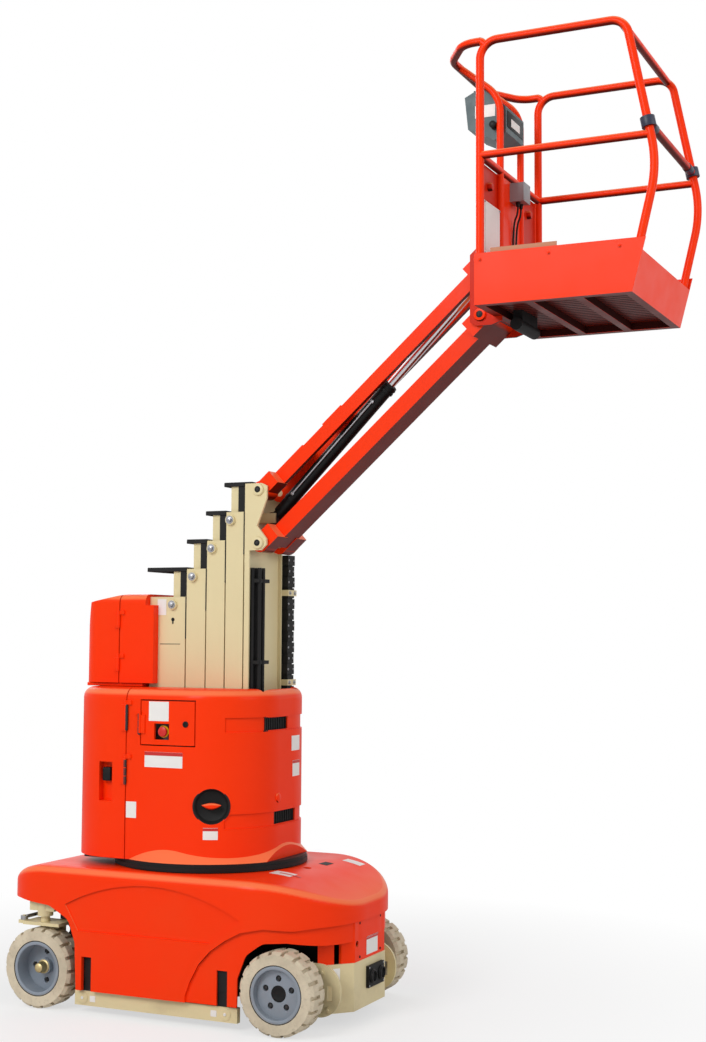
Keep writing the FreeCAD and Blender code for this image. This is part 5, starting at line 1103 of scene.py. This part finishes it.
def dress_bar():
    """Dark blue sleeves of the entry bar on the leaning posts, and its grips."""
    tilt = math.atan((BAR_FOOT[0] - BAR_TOP[0]) / (BAR_TOP[1] - BAR_FOOT[1]))
    axis = Vector((-math.sin(tilt), 0, math.cos(tilt)))
    level = RAIL_MID + 0.046
    x = BAR_FOOT[0] - math.tan(tilt) * (level - BAR_FOOT[1])
    sleeves = [band(0.0263, 0.0205, 0.0026, (x, POST_Y * side, level), axis, 36) for word, side in SIDES]
    settle(joined(sleeves), "bar_sleeves", "navy", "entry_bar")
    grips = [band(0.0173, 0.030, 0.0022, (x, 0.30 * side, level), (0, 1, 0), 30) for word, side in SIDES]
    settle(joined(grips), "bar_grips", "navy", "entry_bar")


def dress_platform():
    """Floor, console, boxes, entry bar, kick plate bolts, top corners, rear panel and sand strip."""
    floor_mesh()
    dress_console()
    dress_boxes()
    dress_bar()
    for word, side in SIDES:
        spots = [(x, TRAY_HALF * side, TRAY_LOW + 0.185) for x in KICK_BOLTS_X]
        settle(bolts(spots, (0, side, 0), 0.0055), "kick_bolts_" + word, "orange", "platform")
    for word, side in SIDES:
        corner = [(POST_X + ahead, POST_Y * side, RAIL_TOP - drop)
                  for ahead, drop in ((-0.012, 0), (0.003, 0), (0.014, 0.008), (0.026, 0.024))]
        hose(corner, 0.0169, "rail_joint_" + word, "orange", "platform")
    sheets = [block((PANEL_REAR, y, z), (PANEL_FRONT, end_y, end_z), 0.0008, 1)
              for y, end_y, z, end_z in PANEL_SHEETS]
    settle(joined(sheets), "rear_panel_sheets", "deep red", "platform")
    knobs = [turned([(0.018, 0), (0.018, 0.012), (0.014, 0.018), (0.006, 0.019)],
                    (PANEL_FRONT, y, z), (1, 0, 0), 24)
             for y, z in ((-0.250, 3.475), (0.270, 3.240), (0.250, 3.480))]
    settle(joined(knobs), "rear_panel_knobs", "deep red", "platform")
    strip = block((1.474, -0.3905, 3.138), (1.752, -0.3865, 3.184), 0.0012)
    settle(strip, "sand_strip", "sand", "platform")


# Light and floor

def floor_finish():
    """A pale floor that catches a soft shadow near the machine and is pure white further out."""
    n = Nodes("pale floor")
    n.finish((0.82, 0.82, 0.82, 1), 0.95, Specular_IOR_Level=0.0)
    glow = n.add("ShaderNodeEmission")
    glow.inputs["Color"].default_value = (1, 1, 1, 1)
    shares = n.add("ShaderNodeMixShader")
    ray = n.add("ShaderNodeLightPath")
    distance = n.add("ShaderNodeVectorMath", operation="LENGTH")
    n.tree.links.new(n.place, distance.inputs[0])
    reach = n.ramp(distance.outputs["Value"], 1.0, 3.2, 0.62, 1.0)
    n.tree.links.new(n.math("MULTIPLY", ray.outputs["Is Camera Ray"], reach), shares.inputs["Fac"])
    n.tree.links.new(n.shader.outputs["BSDF"], shares.inputs[1])
    n.tree.links.new(glow.outputs["Emission"], shares.inputs[2])
    n.tree.links.new(shares.outputs["Shader"], n.tree.nodes["Material Output"].inputs["Surface"])
    return n.material


def light_the_scene():
    """A white room: even light from all round, three soft lamps, and the floor."""
    world = bpy.data.worlds.new("studio")
    bpy.context.scene.world = world
    world.use_nodes = True
    tree = world.node_tree
    background = tree.nodes["Background"]
    path = tree.nodes.new("ShaderNodeLightPath")
    seen = tree.nodes.new("ShaderNodeMath")
    seen.operation = "MAXIMUM"
    tree.links.new(path.outputs["Is Camera Ray"], seen.inputs[0])
    tree.links.new(path.outputs["Is Glossy Ray"], seen.inputs[1])
    strength = tree.nodes.new("ShaderNodeMapRange")
    strength.inputs["To Min"].default_value = 0.48
    strength.inputs["To Max"].default_value = 1.0
    tree.links.new(seen.outputs[0], strength.inputs["Value"])
    tree.links.new(strength.outputs["Result"], background.inputs["Strength"])
    background.inputs["Color"].default_value = (1, 1, 1, 1)
    lamps = (
        # name, place, size, watts
        ("key", (-1.5, -9.0, 7.0), 4.0, 520),
        ("fill", (8.0, -1.0, 4.5), 4.0, 125),
        ("back", (-5.0, 6.0, 6.0), 4.0, 100),
    )
    for name, place, size, watts in lamps:
        data = bpy.data.lights.new(name, "AREA")
        data.size = size
        data.energy = watts
        lamp = bpy.data.objects.new(name, data)
        bpy.context.scene.collection.objects.link(lamp)
        lamp.location = place
        lamp.rotation_euler = (Vector((0.6, 0, 1.8)) - Vector(place)).to_track_quat("-Z", "Y").to_euler()
    clear_bench()
    bpy.ops.mesh.primitive_plane_add(size=80, location=(0, 0, -0.001))
    floor = bpy.context.object
    floor.name = "floor"
    floor.data.materials.append(floor_finish())


bpy.context.scene.view_settings.view_transform = "Standard"
place_camera()
dress_frame()
dress_wheels()
dress_chassis()
dress_hood()
dress_mast()
dress_jib()
dress_platform()
light_the_scene()
